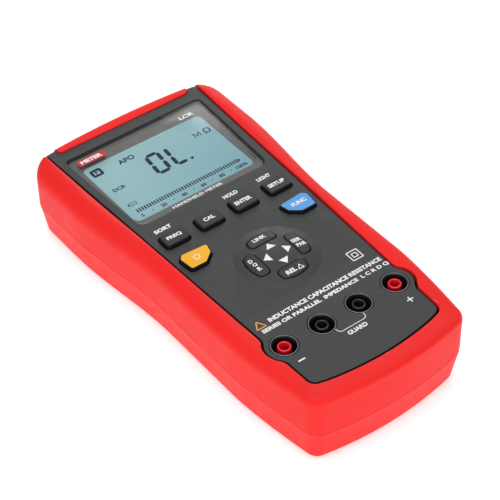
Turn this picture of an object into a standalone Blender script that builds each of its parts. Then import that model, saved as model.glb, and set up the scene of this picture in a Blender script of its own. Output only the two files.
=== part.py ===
"""Handheld LCR meter: jacketed case, display, keys, four input jacks, boards, battery and tilt stand.

Metres, +Z up, lying on its back. The origin is the bottom centre, +Y points to the display end
and +X to the reader's right. Sizes below are in millimetres and are scaled once, in make_object.
"""

import math

import bpy
from mathutils import Vector

MM = 0.001
GAP = 0.3  # clearance between neighbouring pieces

# Body outline, seen from above
HALF_LENGTH = 96.6
HEAD_HALF_WIDTH = 49.8  # at the display
WAIST_HALF_WIDTH = 44.6  # at the keys
FOOT_HALF_WIDTH = 38.8  # at the jack end
HEAD_CORNER, FOOT_CORNER = 9.4, 5.5  # corner radii
HEAD_BOW, FOOT_BOW = 3.2, 4.6  # how far an end's corners fall behind its middle

# Heights
PANEL_Z = 36.0
RIM_CROWN = 0.8  # the rim's crest above the panel
SEAM_Z = 17.0
FLOOR_Z = 0.5  # underside of the rear case, inside the jacket's border
JACKET_THICK = 2.2
WALL_THICK = 2.0
PLATE_Z = 33.2  # underside of the panel plate
LEDGE_Z = 31.8  # underside of the ledge around it
BASE_TAPER = 2.8  # how far the sides lean in below the seam
BORDER_WIDTH = 8.0  # the jacket's flat border under the meter

# Panel plate
PANEL_HALF_WIDTH_AT_JACKS = 33.8
PANEL_HALF_WIDTH_AT_HEAD = 40.5
PANEL_FOOT_Y = -87.0
PANEL_GROOVE = 0.5
JACK_Y = -60.0
JACK_PITCH = 19.0
JACK_XS = [(index - 1.5) * JACK_PITCH for index in range(4)]
BULGE_RADIUS = 8.5  # the panel's lobes round the outer jacks
TUBE_TOP_Z = 30.0  # the contacts sit deep inside their insulators

# Display
LENS_TOP_Y, LENS_FOOT_Y = 84.6, 30.7
LENS_HALF_TOP, LENS_HALF_FOOT = 35.6, 33.5
LENS_Z = (34.2, 35.7)
LENS_SEAT = 1.2  # width of the step that carries the lens
LENS_POCKET_Z = 32.9  # the sunken frame seen through the lens
WINDOW_HALF_WIDTH = 31.6
WINDOW_Y = (36.5, 78.9)
GLASS_Z = (31.6, 32.7)

# Keys
KEY_Y = 15.6
KEY_XS = {"key_far_left": -26.9, "key_left": -9.0, "key_right": 9.0, "key_far_right": 26.9}
KEY_SIZE = (11.8, 7.8)
KEY_TOP_Z = 37.7
SIDE_KEY = [(19.0, 3.9), (31.5, 4.8), (33.4, 2.7), (32.5, -4.7), (25.1, -4.8), (20.3, -1.2)]
NAV_CENTRE = (0.2, -18.9)
NAV_DOME_RADIUS = 18.4
NAV_DOME_HEIGHT = 2.2
NAV_INNER, NAV_OUTER, NAV_HALF = 8.1, 14.4, 7.2
NAV_KEY_RISE = 0.45  # the direction keys' faces follow the dome this far above it
FLANGE_Z = (31.7, 32.9)  # the keys' retaining flange, under the plate
FLANGE_RIM = 1.0
PLUNGER_RADIUS = 1.8
PLUNGER_FOOT_Z = 29.2

# Boards and what stands between them
DISPLAY_BOARD_Z = (25.4, 27.0)
MAIN_BOARD_Z = (12.0, 13.6)
DOME_SHEET_Z = (27.3, 27.5)
KEYPAD_MAT_Z = (27.8, 30.2)

# Battery, door and stand
BATTERY_SIZE = (48.5, 26.5, 17.5)
BATTERY_CENTRE = (3.1, -30.2)
BATTERY_FOOT_Z = 2.9
BAY_X, BAY_Y = (-28.5, 28.0), (-44.2, -16.2)
BAY_TOP_Z = 20.9
DOOR_X, DOOR_Y = (-31.5, 31.5), (-47.0, -5.5)
DOOR_Z = (0.5, 2.3)
DOOR_SCREW_Y = -9.8
STAND_AXIS = (58.0, 3.7)  # y and z of the hinge line
STAND_HALF_WIDTH = 24.0
STAND_FOOT_Y = 2.0
STAND_Z = (0.8, 3.0)
STAND_BARREL_RADIUS = 2.6
PIN_RADIUS = 1.0
SCREW_PLACES = [(-33.0, 82.0), (33.0, 82.0), (-25.0, -78.0), (25.0, -78.0)]
SCREW_HEAD_RADIUS, SCREW_SHANK_RADIUS = 2.8, 1.3
BOSS_RADIUS = 3.6

MATERIALS = {}


# ---------------------------------------------------------------- general helpers


def material(name, colour, roughness, metallic=0.0):
    """A Principled material, made once for each name."""
    if name not in MATERIALS:
        made = bpy.data.materials.new(name)
        made.use_nodes = True
        shader = made.node_tree.nodes["Principled BSDF"]
        shader.inputs["Base Color"].default_value = (*colour, 1.0)
        shader.inputs["Roughness"].default_value = roughness
        shader.inputs["Metallic"].default_value = metallic
        MATERIALS[name] = made
    return MATERIALS[name]


def red_jacket():
    return material("red_jacket", (0.89, 0.035, 0.035), 0.45)


def dark_case():
    return material("dark_case", (0.065, 0.067, 0.07), 0.55)


def dark_rubber():
    return material("dark_rubber", (0.03, 0.03, 0.035), 0.7)


def board_green():
    return material("board_green", (0.02, 0.13, 0.06), 0.5)


def chip_black():
    return material("chip_black", (0.02, 0.02, 0.02), 0.5)


def plated_steel():
    return material("plated_steel", (0.6, 0.6, 0.62), 0.3, metallic=1.0)


def smoothstep(t):
    t = min(1.0, max(0.0, t))
    return t * t * (3 - 2 * t)


def arc(centre, radius, start_deg, end_deg, steps):
    """Points along a circular arc, both ends included."""
    angles = [math.radians(start_deg + (end_deg - start_deg) * i / steps) for i in range(steps + 1)]
    return [(centre[0] + radius * math.cos(a), centre[1] + radius * math.sin(a)) for a in angles]


def rounded_box(x_span, y_span, radius, steps=3):
    """A counter-clockwise rectangle with round corners."""
    (x0, x1), (y0, y1) = x_span, y_span
    corners = [(x1, y0, -90), (x1, y1, 0), (x0, y1, 90), (x0, y0, 180)]
    points = []
    for x, y, start in corners:
        centre = (x - radius if x == x1 else x + radius, y - radius if y == y1 else y + radius)
        points += arc(centre, radius, start, start + 90, steps)
    return points


def normals(outline):
    """The outward normal at each point of a counter-clockwise outline, long enough for a mitre."""
    result = []
    for i, here in enumerate(outline):
        before = Vector(here) - Vector(outline[i - 1])
        after = Vector(outline[(i + 1) % len(outline)]) - Vector(here)
        first = Vector((before.y, -before.x)).normalized()
        second = Vector((after.y, -after.x)).normalized()
        mean = (first + second).normalized()
        result.append(mean / max(0.5, mean.dot(first)))
    return result


def grown(outline, distance):
    """The outline moved outwards by a distance, or inwards by a negative one."""
    moved = zip(outline, normals(outline))
    return [(x + n.x * distance, y + n.y * distance) for (x, y), n in moved]


def make_object(name, points, faces, surface, origin=(0, 0, 0)):
    """A mesh object from millimetre points, with its origin at the given millimetre place."""
    shift = Vector(origin)
    mesh = bpy.data.meshes.new(name)
    mesh.from_pydata([(Vector(p) - shift) * MM for p in points], [], faces)
    mesh.materials.append(surface)
    mesh.validate()
    mesh.shade_smooth()
    mesh.set_sharp_from_angle(angle=math.radians(35))
    made = bpy.data.objects.new(name, mesh)
    made.location = shift * MM
    bpy.context.scene.collection.objects.link(made)
    return made


def loft(name, rings, surface, origin=(0, 0, 0)):
    """A closed solid through rings of equal point count, listed from the bottom to the top."""
    count = len(rings[0])
    points = [p for ring in rings for p in ring]
    faces = [list(range(count))[::-1]]
    for level in range(len(rings) - 1):
        low, high = level * count, (level + 1) * count
        for i in range(count):
            j = (i + 1) % count
            faces.append((low + i, low + j, high + j, high + i))
    faces.append([len(points) - count + i for i in range(count)])
    return make_object(name, points, faces, surface, origin=origin)


def prism(name, outline, z_span, surface, edge=0.0, origin=(0, 0, 0)):
    """An upright prism, whose top edge can be bevelled."""
    z0, z1 = z_span
    levels = [(0.0, z0), (0.0, z1 - edge)]
    if edge:
        levels.append((edge, z1))
    rings = [[(x, y, z) for x, y in grown(outline, -inset)] for inset, z in levels]
    return loft(name, rings, surface, origin)


def box(name, x_span, y_span, z_span, surface):
    (x0, x1), (y0, y1) = x_span, y_span
    return prism(name, [(x0, y0), (x1, y0), (x1, y1), (x0, y1)], z_span, surface)


def lathe(name, profile, centre, surface, sides=24):
    """A turned solid about a vertical axis: profile runs up the outer side, then down the inner.

    Points at radius 0 close the solid on the axis. Without them the solid is a ring.
    """
    cx, cy = centre
    points, rings = [], []
    for radius, z in profile:
        if radius == 0:
            rings.append([len(points)] * sides)
            points.append((cx, cy, z))
            continue
        rings.append(list(range(len(points), len(points) + sides)))
        turns = [2 * math.pi * i / sides for i in range(sides)]
        points += [(cx + radius * math.cos(t), cy + radius * math.sin(t), z) for t in turns]
    faces = []
    for k, low in enumerate(rings):
        high = rings[(k + 1) % len(rings)]
        for i in range(sides):
            j = (i + 1) % sides
            face = list(dict.fromkeys((low[i], low[j], high[j], high[i])))
            if len(face) > 2:
                faces.append(face)
    return make_object(name, points, faces, surface, origin=(cx, cy, 0))


def rod_x(name, x_span, y, z, radius, surface, sides=16):
    """A round rod along X, with its origin on its own axis."""
    rings = []
    for x in x_span:
        turns = [2 * math.pi * (i + 0.5) / sides for i in range(sides)]
        rings.append([(x, y + radius * math.cos(t), z + radius * math.sin(t)) for t in turns])
    return loft(name, rings, surface, origin=(0, y, z))


def combine(target, tool, operation):
    """Cuts or joins a helper into the target, and hides the helper."""
    modifier = target.modifiers.new(tool.name, "BOOLEAN")
    modifier.operation = operation
    modifier.solver = "EXACT"
    modifier.object = tool
    tool.hide_render = True
    tool.display_type = "WIRE"


def cut(target, *tools):
    for tool in tools:
        combine(target, tool, "DIFFERENCE")


def join(target, *tools):
    for tool in tools:
        combine(target, tool, "UNION")


def keep_inside(target, tool):
    combine(target, tool, "INTERSECT")


# ---------------------------------------------------------------- the body's shape


def half_width(y):
    """Half the body's width: wide at the display, straight at the keys, narrow at the jacks."""
    head = (HEAD_HALF_WIDTH - WAIST_HALF_WIDTH) * smoothstep(y / 66)
    foot = (WAIST_HALF_WIDTH - FOOT_HALF_WIDTH) * max(0.0, (-47 - y) / 50) ** 1.5
    return WAIST_HALF_WIDTH + head - foot


def edge_radius(y, normal):
    """The top edge's rounding: it grows along the sides towards the display, and is tight at the ends."""
    side = 3.0 + 5.0 * max(0.0, (y + HALF_LENGTH) / (2 * HALF_LENGTH)) ** 0.6
    facing_end = min(1.0, normal.y**2)
    return side * (1 - facing_end) + 2.2 * facing_end


def body_outline(inset=0.0):
    """The widest section: a round-cornered rectangle bent to the body's waist and bowed ends."""
    side_steps, end_steps = 13, 6
    w, l = WAIST_HALF_WIDTH - inset, HALF_LENGTH - inset
    head, foot = max(3.0, HEAD_CORNER - inset), max(3.0, FOOT_CORNER - inset)
    side_run = [foot - l + (2 * l - foot - head) * i / side_steps for i in range(1, side_steps)]
    head_run = [(w - head) * (1 - 2 * i / end_steps) for i in range(1, end_steps)]
    foot_run = [(w - foot) * (2 * i / end_steps - 1) for i in range(1, end_steps)]
    spots = arc((w - foot, foot - l), foot, -90, 0, 5) + [(w, y) for y in side_run]
    spots += arc((w - head, l - head), head, 0, 90, 5) + [(x, l) for x in head_run]
    spots += arc((head - w, l - head), head, 90, 180, 5) + [(-w, y) for y in side_run[::-1]]
    spots += arc((foot - w, foot - l), foot, 180, 270, 5) + [(x, -l) for x in foot_run]
    bent = []
    for x, y in spots:
        bow = (HEAD_BOW if y > 0 else FOOT_BOW) * (x / w) ** 2 * abs(y / l)
        bent.append((x * (half_width(y) - inset) / w, y - math.copysign(bow, y)))
    return bent


OUTLINE = body_outline()
OUTLINE_NORMALS = normals(OUTLINE)


def body_ring(inset, z):
    """The body's outline at one height, moved inwards."""
    return [(x - n.x * inset, y - n.y * inset, z) for (x, y), n in zip(OUTLINE, OUTLINE_NORMALS)]


def edge_ring(skin, top_z, angle):
    """The outline on the rounded top edge, where the surface has tilted up by the angle."""
    ring = []
    for (x, y), n in zip(OUTLINE, OUTLINE_NORMALS):
        radius = max(0.6, edge_radius(y, n) - skin)
        inset = skin + radius * (1 - math.cos(angle))
        ring.append((x - n.x * inset, y - n.y * inset, top_z - radius * (1 - math.sin(angle))))
    return ring


def upper_body(name, surface, skin=0.0, foot_z=SEAM_Z + 0.2, top_z=PANEL_Z, crown=0.0):
    """The upper half of the body, or the same shape with a skin taken off it.

    With a crown its rim rises above the flat top and falls back to it at the panel's edge.
    """
    rings = [body_ring(skin, foot_z)]
    steps = 4
    rings += [edge_ring(skin, top_z + crown, math.pi / 2 * i / steps) for i in range(steps + 1)]
    if crown:
        rings.append([(x, y, top_z) for x, y in body_outline(inset=10.5)])
    return loft(name, rings, surface)


def lower_body(name, surface):
    """The lower half: it leans in towards the base and ends in a rounded edge."""
    rings = []
    for z, lean, turn_in in [(0.0, 1.0, 1.5), (0.4, 1.0, 0.6), (1.3, 0.95, 0.0), (9.0, 0.5, 0.0)]:
        rings.append(body_ring(BASE_TAPER * lean + turn_in, z))
    rings.append(body_ring(0.0, SEAM_Z - 0.1))
    return loft(name, rings, surface)


def panel_half_width(y):
    slope = (PANEL_HALF_WIDTH_AT_HEAD - PANEL_HALF_WIDTH_AT_JACKS) / (HALF_LENGTH - JACK_Y)
    return PANEL_HALF_WIDTH_AT_JACKS + slope * (y - JACK_Y)


def panel_outline(top_y=HALF_LENGTH + 8):
    """The dark panel: bowed at the jack end, lobed at the outer jacks, open at the display end."""
    bow_radius, corner = 135.0, 4.0
    side_x = panel_half_width(-80)
    sag = side_x * side_x / (2 * bow_radius)
    foot = [(x, PANEL_FOOT_Y + x * x / (2 * bow_radius)) for x in (0, 8, 16, 24)]
    corner_centre = (side_x - corner, PANEL_FOOT_Y + sag + corner - 0.6)
    right = foot + arc(corner_centre, corner, -78, 0, 4)
    jack_x = JACK_XS[-1]
    reach = math.sqrt(BULGE_RADIUS**2 - (panel_half_width(JACK_Y) - jack_x) ** 2)
    lobe_angle = math.degrees(math.atan2(reach, panel_half_width(JACK_Y) - jack_x)) - 12
    right.append((panel_half_width(JACK_Y - reach - 1.6), JACK_Y - reach - 1.6))
    right += arc((jack_x, JACK_Y), BULGE_RADIUS, -lobe_angle, lobe_angle, 6)
    right.append((panel_half_width(JACK_Y + reach + 1.6), JACK_Y + reach + 1.6))
    right.append((panel_half_width(top_y), top_y))
    return right + [(-x, y) for x, y in right[:0:-1]]


def lens_outline():
    """The display lens: tapered sides, rounder corners at its lower end."""
    points = arc((LENS_HALF_FOOT - 4, LENS_FOOT_Y + 4), 4, -90, 0, 4)
    points += arc((LENS_HALF_TOP - 2, LENS_TOP_Y - 2), 2, 0, 90, 3)
    return points + [(-x, y) for x, y in points[::-1]]


# ---------------------------------------------------------------- case


def top_bar_prism(name, grow=0.0):
    """The space of the red bar: let into the top and the display end alike."""
    outline = rounded_box((-35.2 - grow, 35.2 + grow), (90.8 - grow, HALF_LENGTH + 6), 2.6)
    return prism(name, outline, (22.5 - grow, PANEL_Z + 4), red_jacket())


def key_places():
    """Every key's name with its outline at the panel, its flange outline and its plunger's place."""
    places = []
    for name, x in KEY_XS.items():
        half_x, half_y = KEY_SIZE[0] / 2, KEY_SIZE[1] / 2
        outline = rounded_box((x - half_x, x + half_x), (KEY_Y - half_y, KEY_Y + half_y), 1.6)
        places.append((name, outline, (x, KEY_Y)))
    for name, side in [("function_key", 1), ("power_key", -1)]:
        outline = [(side * x, y) for x, y in SIDE_KEY]
        places.append((name, outline if side < 0 else outline[::-1], (side * 27.0, -0.8)))
    for index, name in enumerate(["nav_key_right", "nav_key_up", "nav_key_left", "nav_key_down"]):
        turn = math.pi / 2 * index
        cx, cy = NAV_CENTRE
        middle = (NAV_INNER + NAV_OUTER) / 2
        petal = [
            (cx + u * math.cos(turn) - v * math.sin(turn), cy + u * math.sin(turn) + v * math.cos(turn))
            for u, v in petal_outline()
        ]
        places.append((name, petal, (cx + middle * math.cos(turn), cy + middle * math.sin(turn))))
    return places


def petal_outline():
    """One direction key, lying to the right of the pad's centre: straight inside, round outside."""
    reach = math.degrees(math.asin(NAV_HALF / NAV_OUTER))
    outer = arc((0, 0), NAV_OUTER, 6 - reach, reach - 6, 5)
    inner = [(NAV_INNER, NAV_HALF - 1.2), (NAV_INNER, 1.2 - NAV_HALF)]
    shoulder = [(NAV_INNER + 1.2, -NAV_HALF), (NAV_INNER + 3.0, -NAV_HALF)]
    return shoulder + outer + [(x, -y) for x, y in shoulder[::-1]] + inner


def front_case():
    """Panel plate with a ledge and inner walls, and an outer wall of its own at the display end."""
    skin = JACKET_THICK + GAP
    case = upper_body("front_case", dark_case(), skin=skin, top_z=PANEL_Z - skin)
    panel_body = upper_body("panel_body", dark_case())
    panel_prism = prism("panel_prism", panel_outline(), (SEAM_Z - 1, PANEL_Z + 3), dark_case())
    keep_inside(panel_body, panel_prism)
    join(case, panel_body, nav_dome("nav_dome", PANEL_Z - 1))
    cavity = upper_body("front_cavity", dark_case(), skin + WALL_THICK, SEAM_Z - 2, LEDGE_Z)
    pocket_outline = grown(panel_outline(top_y=LENS_FOOT_Y), -1.6)
    pocket = prism("plate_pocket", pocket_outline, (LEDGE_Z - 2, PLATE_Z), dark_case())
    cut(case, cavity, pocket)
    for index, (x, y) in enumerate(SCREW_PLACES):
        foot_z, top_z = SEAM_Z + 0.8, PLATE_Z + 1
        profile = [(0, foot_z), (BOSS_RADIUS, foot_z), (BOSS_RADIUS, top_z), (0, top_z)]
        join(case, lathe(f"front_boss_{index}", profile, (x, y), dark_case(), sides=16))
        hole = SCREW_SHANK_RADIUS + GAP
        profile = [(0, SEAM_Z - 1), (hole, SEAM_Z - 1), (hole, 27.5), (0, 27.5)]
        cut(case, lathe(f"front_boss_hole_{index}", profile, (x, y), dark_case(), sides=12))
    bar_space = top_bar_prism("bar_space", grow=GAP)
    cut(bar_space, upper_body("bar_core", dark_case(), 1.9, SEAM_Z - 3, PANEL_Z - 1.9))
    cut(case, bar_space)
    cut_panel_openings(case)
    return case


def nav_dome(name, foot_z, rise=0.0):
    """A shallow dome about the pad's centre, carried on a little below the panel's face."""
    skirt = NAV_DOME_RADIUS + 2
    profile = [(0, foot_z), (skirt, foot_z)]
    for step in range(12):
        radius = skirt * (1 - step / 11)
        height = NAV_DOME_HEIGHT * (1 - (radius / NAV_DOME_RADIUS) ** 2)
        profile.append((radius, PANEL_Z + height + rise))
    return lathe(name, profile, NAV_CENTRE, dark_case(), sides=48)


def cut_panel_openings(case):
    recess_z = (LENS_Z[0] - GAP, PANEL_Z + 2)
    lens_recess = prism("lens_recess", grown(lens_outline(), GAP), recess_z, dark_case())
    pocket = grown(lens_outline(), -LENS_SEAT)
    lens_pocket = prism("lens_pocket", pocket, (LENS_POCKET_Z, PANEL_Z + 2), dark_case())
    window = rounded_box((-WINDOW_HALF_WIDTH, WINDOW_HALF_WIDTH), WINDOW_Y, 1.5)
    through = (LEDGE_Z - 2, PANEL_Z + NAV_DOME_HEIGHT + 2)
    cut(case, lens_recess, lens_pocket, prism("window_hole", window, through, dark_case()))
    for name, outline, _ in key_places():
        cut(case, prism(f"{name}_hole", grown(outline, GAP + 0.1), through, dark_case()))
    for index, x in enumerate(JACK_XS):
        radius = 5.7 + GAP
        profile = [(0, through[0]), (radius, through[0]), (radius, through[1]), (0, through[1])]
        cut(case, lathe(f"jack_hole_{index}", profile, (x, JACK_Y), dark_case()))


def front_jacket():
    """Red rim and side walls above the seam, with the panel's outline cut from its top."""
    jacket = upper_body("front_jacket", red_jacket(), crown=RIM_CROWN)
    core = upper_body("jacket_core", red_jacket(), JACKET_THICK, SEAM_Z - 2, PANEL_Z - JACKET_THICK)
    groove_outline = grown(panel_outline(), PANEL_GROOVE)
    cut(jacket, core, prism("panel_groove", groove_outline, (SEAM_Z - 2, PANEL_Z + 2), red_jacket()))
    return jacket


def top_bar():
    bar = upper_body("top_bar", red_jacket(), crown=RIM_CROWN)
    keep_inside(bar, top_bar_prism("bar_prism"))
    cut(bar, upper_body("bar_back", red_jacket(), 1.6, SEAM_Z - 2, PANEL_Z - 1.6))
    return bar


def tray_rings(skin, floor_z):
    """Sections of the rear half, from a floor up to the seam, with a skin taken off the outside."""
    leans = [(floor_z, BASE_TAPER + 1.0), (9.0, BASE_TAPER * 0.5), (SEAM_Z - 0.1, 0.0)]
    return [body_ring(skin + lean, z) for z, lean in leans]


def rear_jacket():
    """Red side walls below the seam, and the flat border that the meter stands on."""
    jacket = lower_body("rear_jacket", red_jacket())
    core = tray_rings(JACKET_THICK, 1.9) + [body_ring(JACKET_THICK, SEAM_Z + 2)]
    cut(jacket, loft("rear_jacket_core", core, red_jacket()))
    border = body_outline(inset=BASE_TAPER + BORDER_WIDTH)
    cut(jacket, prism("rear_border_hole", border, (-2.0, 4.0), red_jacket()))
    for index, (x, y) in enumerate(SCREW_PLACES):
        profile = [(0, -2), (4.2, -2), (4.2, 4), (0, 4)]
        cut(jacket, lathe(f"jacket_screw_hole_{index}", profile, (x, y), red_jacket(), sides=16))
    return jacket


def rear_case():
    """Dark tray inside the rear jacket: bosses, battery bay, and the stand's and door's recesses."""
    case = loft("rear_case", tray_rings(JACKET_THICK + GAP, 2.2), dark_case())
    floor_outline = body_outline(inset=BASE_TAPER + BORDER_WIDTH + GAP)
    join(case, prism("rear_floor", floor_outline, (FLOOR_Z, 3.0), dark_case()))
    inner_skin = JACKET_THICK + GAP + WALL_THICK
    cavity = tray_rings(inner_skin, 4.6) + [body_ring(inner_skin, SEAM_Z + 2)]
    cut(case, loft("rear_cavity", cavity, dark_case()))
    add_battery_bay(case)
    add_stand_pocket(case)
    for index, (x, y) in enumerate(SCREW_PLACES):
        add_screw_boss(case, f"case_{index}", (x, y), SEAM_Z + 0.4)
    add_screw_boss(case, "door", (0.0, DOOR_SCREW_Y), 14.0)
    for index, x in enumerate((-30.0, 30.0)):
        for row, y in enumerate((20.0, 70.0)):
            profile = [(0, 4.0), (2.5, 4.0), (2.5, MAIN_BOARD_Z[0] - GAP), (0, MAIN_BOARD_Z[0] - GAP)]
            join(case, lathe(f"board_post_{index}{row}", profile, (x, y), dark_case(), sides=12))
    return case


def add_screw_boss(case, name, place, top_z):
    """A boss on the floor with a stepped hole for a screw put in from below."""
    profile = [(0, 3.4), (BOSS_RADIUS, 3.4), (BOSS_RADIUS, top_z), (0, top_z)]
    join(case, lathe(f"{name}_boss", profile, place, dark_case(), sides=16))
    head, shank = SCREW_HEAD_RADIUS + GAP, SCREW_SHANK_RADIUS + GAP
    step_z = 4.7
    profile = [(0, -1), (head, -1), (head, step_z), (shank, step_z), (shank, top_z + 1), (0, top_z + 1)]
    cut(case, lathe(f"{name}_boss_hole", profile, place, dark_case(), sides=12))


def add_battery_bay(case):
    """A box over the battery, open only towards the door."""
    wall = 1.6
    bay = [(BAY_X[0] - wall, BAY_X[1] + wall), (BAY_Y[0] - wall, BAY_Y[1] + wall)]
    join(case, box("bay_walls", *bay, (3.2, BAY_TOP_Z + wall), dark_case()))
    cut(case, box("bay_space", BAY_X, BAY_Y, (-2, BAY_TOP_Z), dark_case()))
    recess = rounded_box((DOOR_X[0] - GAP, DOOR_X[1] + GAP), (DOOR_Y[0] - GAP, DOOR_Y[1] + GAP), 2.3)
    cut(case, prism("door_recess", recess, (-2, DOOR_Z[1] + GAP), dark_case()))


def add_stand_pocket(case):
    """The recess that the folded stand lies in, with a deeper trough for its barrel and its pin."""
    y, z = STAND_AXIS
    reach = STAND_BARREL_RADIUS + 1.0
    block = [(-34.0, 34.0), (y - 6.5, y + 6.5)]
    join(case, box("hinge_block", *block, (3.4, 9.2), dark_case()))
    leg = rounded_box((-STAND_HALF_WIDTH - 0.6, STAND_HALF_WIDTH + 0.6), (STAND_FOOT_Y - 3.5, y), 3.0)
    cut(case, prism("stand_recess", leg, (-2, STAND_Z[1] + 0.4), dark_case()))
    trough = [(-STAND_HALF_WIDTH - 0.6, STAND_HALF_WIDTH + 0.6), (y - reach, y + reach)]
    cut(case, box("hinge_trough", *trough, (-2, z + reach), dark_case()))
    cut(case, rod_x("hinge_pin_hole", (-31.0, 31.0), y, z, PIN_RADIUS + GAP, dark_case(), sides=12))


# ---------------------------------------------------------------- display and keys


def display_parts():
    lens_material = material("lens_tint", (0.16, 0.15, 0.14), 0.15)
    prism("display_lens", lens_outline(), LENS_Z, lens_material, edge=0.2)
    glass_x = WINDOW_HALF_WIDTH - GAP
    glass_y = (WINDOW_Y[0] + GAP, WINDOW_Y[1] - GAP)
    glass_material = material("display_glass", (0.30, 0.45, 0.50), 0.2)
    prism("lcd_glass", rounded_box((-glass_x, glass_x), glass_y, 1.2), GLASS_Z, glass_material)
    frame = prism("lcd_frame", rounded_box((-35.6, 35.6), (34.6, 78.1), 1.0), (27.3, 31.3), dark_case())
    inner = rounded_box((-31.6, 31.6), (36.8, 76.9), 1.0)
    cut(frame, prism("lcd_frame_hole", inner, (20, 40), dark_case()))
    light_material = material("light_guide", (0.75, 0.80, 0.80), 0.4)
    box("backlight_panel", (-30.8, 30.8), (40.0, 73.8), (28.2, 31.3), light_material)
    for name, y in [("contact_strip_lower", 38.4), ("contact_strip_upper", 75.4)]:
        box(name, (-28.0, 28.0), (y - 1.2, y + 1.2), (27.3, 31.3), dark_rubber())


def key_cap(name, outline, plunger_place, surface, domed=False):
    """A cap that comes up through the panel, with a flange below the plate and a plunger foot."""
    x, y = plunger_place
    levels = [(FLANGE_RIM, FLANGE_Z[0]), (FLANGE_RIM, FLANGE_Z[1]), (0.0, FLANGE_Z[1])]
    if domed:
        levels.append((0.0, PANEL_Z + NAV_DOME_HEIGHT + 1))
    else:
        levels += [(0.0, PANEL_Z - 0.6), (-0.25, KEY_TOP_Z - 0.4), (-0.7, KEY_TOP_Z)]
    rings = [[(px, py, z) for px, py in grown(outline, grow)] for grow, z in levels]
    cap = loft(name, rings, surface, origin=(x, y, PANEL_Z))
    if domed:
        keep_inside(cap, nav_dome(f"{name}_face", FLANGE_Z[0] - 2, NAV_KEY_RISE))
    foot = [(0, PLUNGER_FOOT_Z), (PLUNGER_RADIUS, PLUNGER_FOOT_Z), (PLUNGER_RADIUS, 32.3), (0, 32.3)]
    join(cap, lathe(f"{name}_plunger", foot, plunger_place, surface, sides=12))
    return cap


def keys():
    blue = material("key_blue", (0.16, 0.40, 0.83), 0.35)
    yellow = material("key_yellow", (1.0, 0.55, 0.02), 0.35)
    surfaces = {"function_key": blue, "power_key": yellow}
    for name, outline, plunger_place in key_places():
        domed = name.startswith("nav")
        key_cap(name, outline, plunger_place, surfaces.get(name, dark_rubber()), domed)


def keypad_parts():
    """Under the keys: a soft mat with a hole for every plunger, and a film with a bump for each."""
    spread = rounded_box((-36.0, 36.0), (-38.0, 25.0), 3.0)
    mat = prism("keypad_mat", spread, KEYPAD_MAT_Z, material("mat_grey", (0.2, 0.2, 0.21), 0.7))
    domes = prism("dome_sheet", grown(spread, -1.0), DOME_SHEET_Z, plated_steel())
    low, high = DOME_SHEET_Z
    for name, _, place in key_places():
        profile = [(0, 20), (PLUNGER_RADIUS + 0.8, 20), (PLUNGER_RADIUS + 0.8, 35), (0, 35)]
        cut(mat, lathe(f"{name}_mat_hole", profile, place, dark_rubber(), sides=12))
        profile = [(0, low + 0.05), (2.0, low + 0.05), (1.7, high + 0.2), (0, high + 0.35)]
        join(domes, lathe(f"{name}_dome", profile, place, plated_steel(), sides=12))


# ---------------------------------------------------------------- jacks, boards and battery


def jacks():
    """Each jack: a cup set in the panel, a coloured insulator, and a tube that takes a 4 mm plug."""
    red = material("jack_red", (0.80, 0.01, 0.02), 0.35)
    brass = material("contact_brass", (0.72, 0.52, 0.22), 0.3, metallic=1.0)
    for index, x in enumerate(JACK_XS):
        number, place = index + 1, (x, JACK_Y)
        outer = index in (0, len(JACK_XS) - 1)
        cup = [(5.7, 20.0), (5.7, 31.4), (6.5, 31.4), (6.5, 32.9), (5.7, 32.9), (5.7, 36.0)]
        cup += [(4.85, 36.0), (4.85, 21.6), (3.35, 21.6), (3.35, 20.0)]
        lathe(f"jack_cup_{number}", cup, place, chip_black())
        insulator = [(3.05, 17.5), (3.05, 35.5), (2.8, 35.75), (2.1, 35.75), (2.1, TUBE_TOP_Z + GAP)]
        insulator += [(2.75, TUBE_TOP_Z + GAP), (2.75, 17.5)]
        colour = red if outer else chip_black()
        lathe(f"jack_insulator_{number}", insulator, place, colour, sides=20)
        tube = [(2.45, 9.5), (2.45, TUBE_TOP_Z), (2.0, TUBE_TOP_Z), (2.0, 9.5)]
        lathe(f"jack_contact_{number}", tube, place, brass, sides=20)


def boards():
    display_shape = rounded_box((-36.0, 36.0), (-53.4, 77.5), 2.0)
    prism("display_board", display_shape, DISPLAY_BOARD_Z, board_green())
    input_shape = rounded_box((-34.0, 34.0), (-71.0, -47.8), 2.0)
    input_board = prism("input_board", input_shape, (11.0, 12.6), board_green())
    for index, x in enumerate(JACK_XS):
        profile = [(0, 8), (2.45 + GAP, 8), (2.45 + GAP, 16), (0, 16)]
        cut(input_board, lathe(f"contact_hole_{index}", profile, (x, JACK_Y), board_green(), sides=16))
    box("input_header", (-10.0, 10.0), (-51.6, -49.0), (12.9, 25.1), chip_black())
    prism("main_board", rounded_box((-35.5, 35.5), (2.0, 77.0), 2.0), MAIN_BOARD_Z, board_green())
    floor = MAIN_BOARD_Z[1] + GAP
    box("main_header", (-12.0, 12.0), (4.0, 6.6), (floor, 25.1), chip_black())
    box("processor_chip", (-9.0, 5.0), (36.0, 50.0), (floor, floor + 1.6), chip_black())
    box("converter_chip", (14.0, 24.0), (40.0, 50.0), (floor, floor + 1.6), chip_black())
    can = rounded_box((-24.0, -13.5), (45.0, 49.6), 2.2)
    prism("timing_crystal", can, (floor, floor + 3.6), plated_steel(), edge=0.4)
    cream = material("relay_cream", (0.75, 0.72, 0.6), 0.5)
    box("range_relay", (12.0, 26.0), (18.0, 27.0), (floor, floor + 8.0), cream)
    profile = [(0, floor), (6.0, floor), (6.0, floor + 5.6), (5.4, floor + 6.0), (1.2, floor + 6.0)]
    profile += [(1.0, floor + 4.8), (0, floor + 4.8)]
    lathe("buzzer", profile, (-20.0, 62.0), chip_black())


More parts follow.
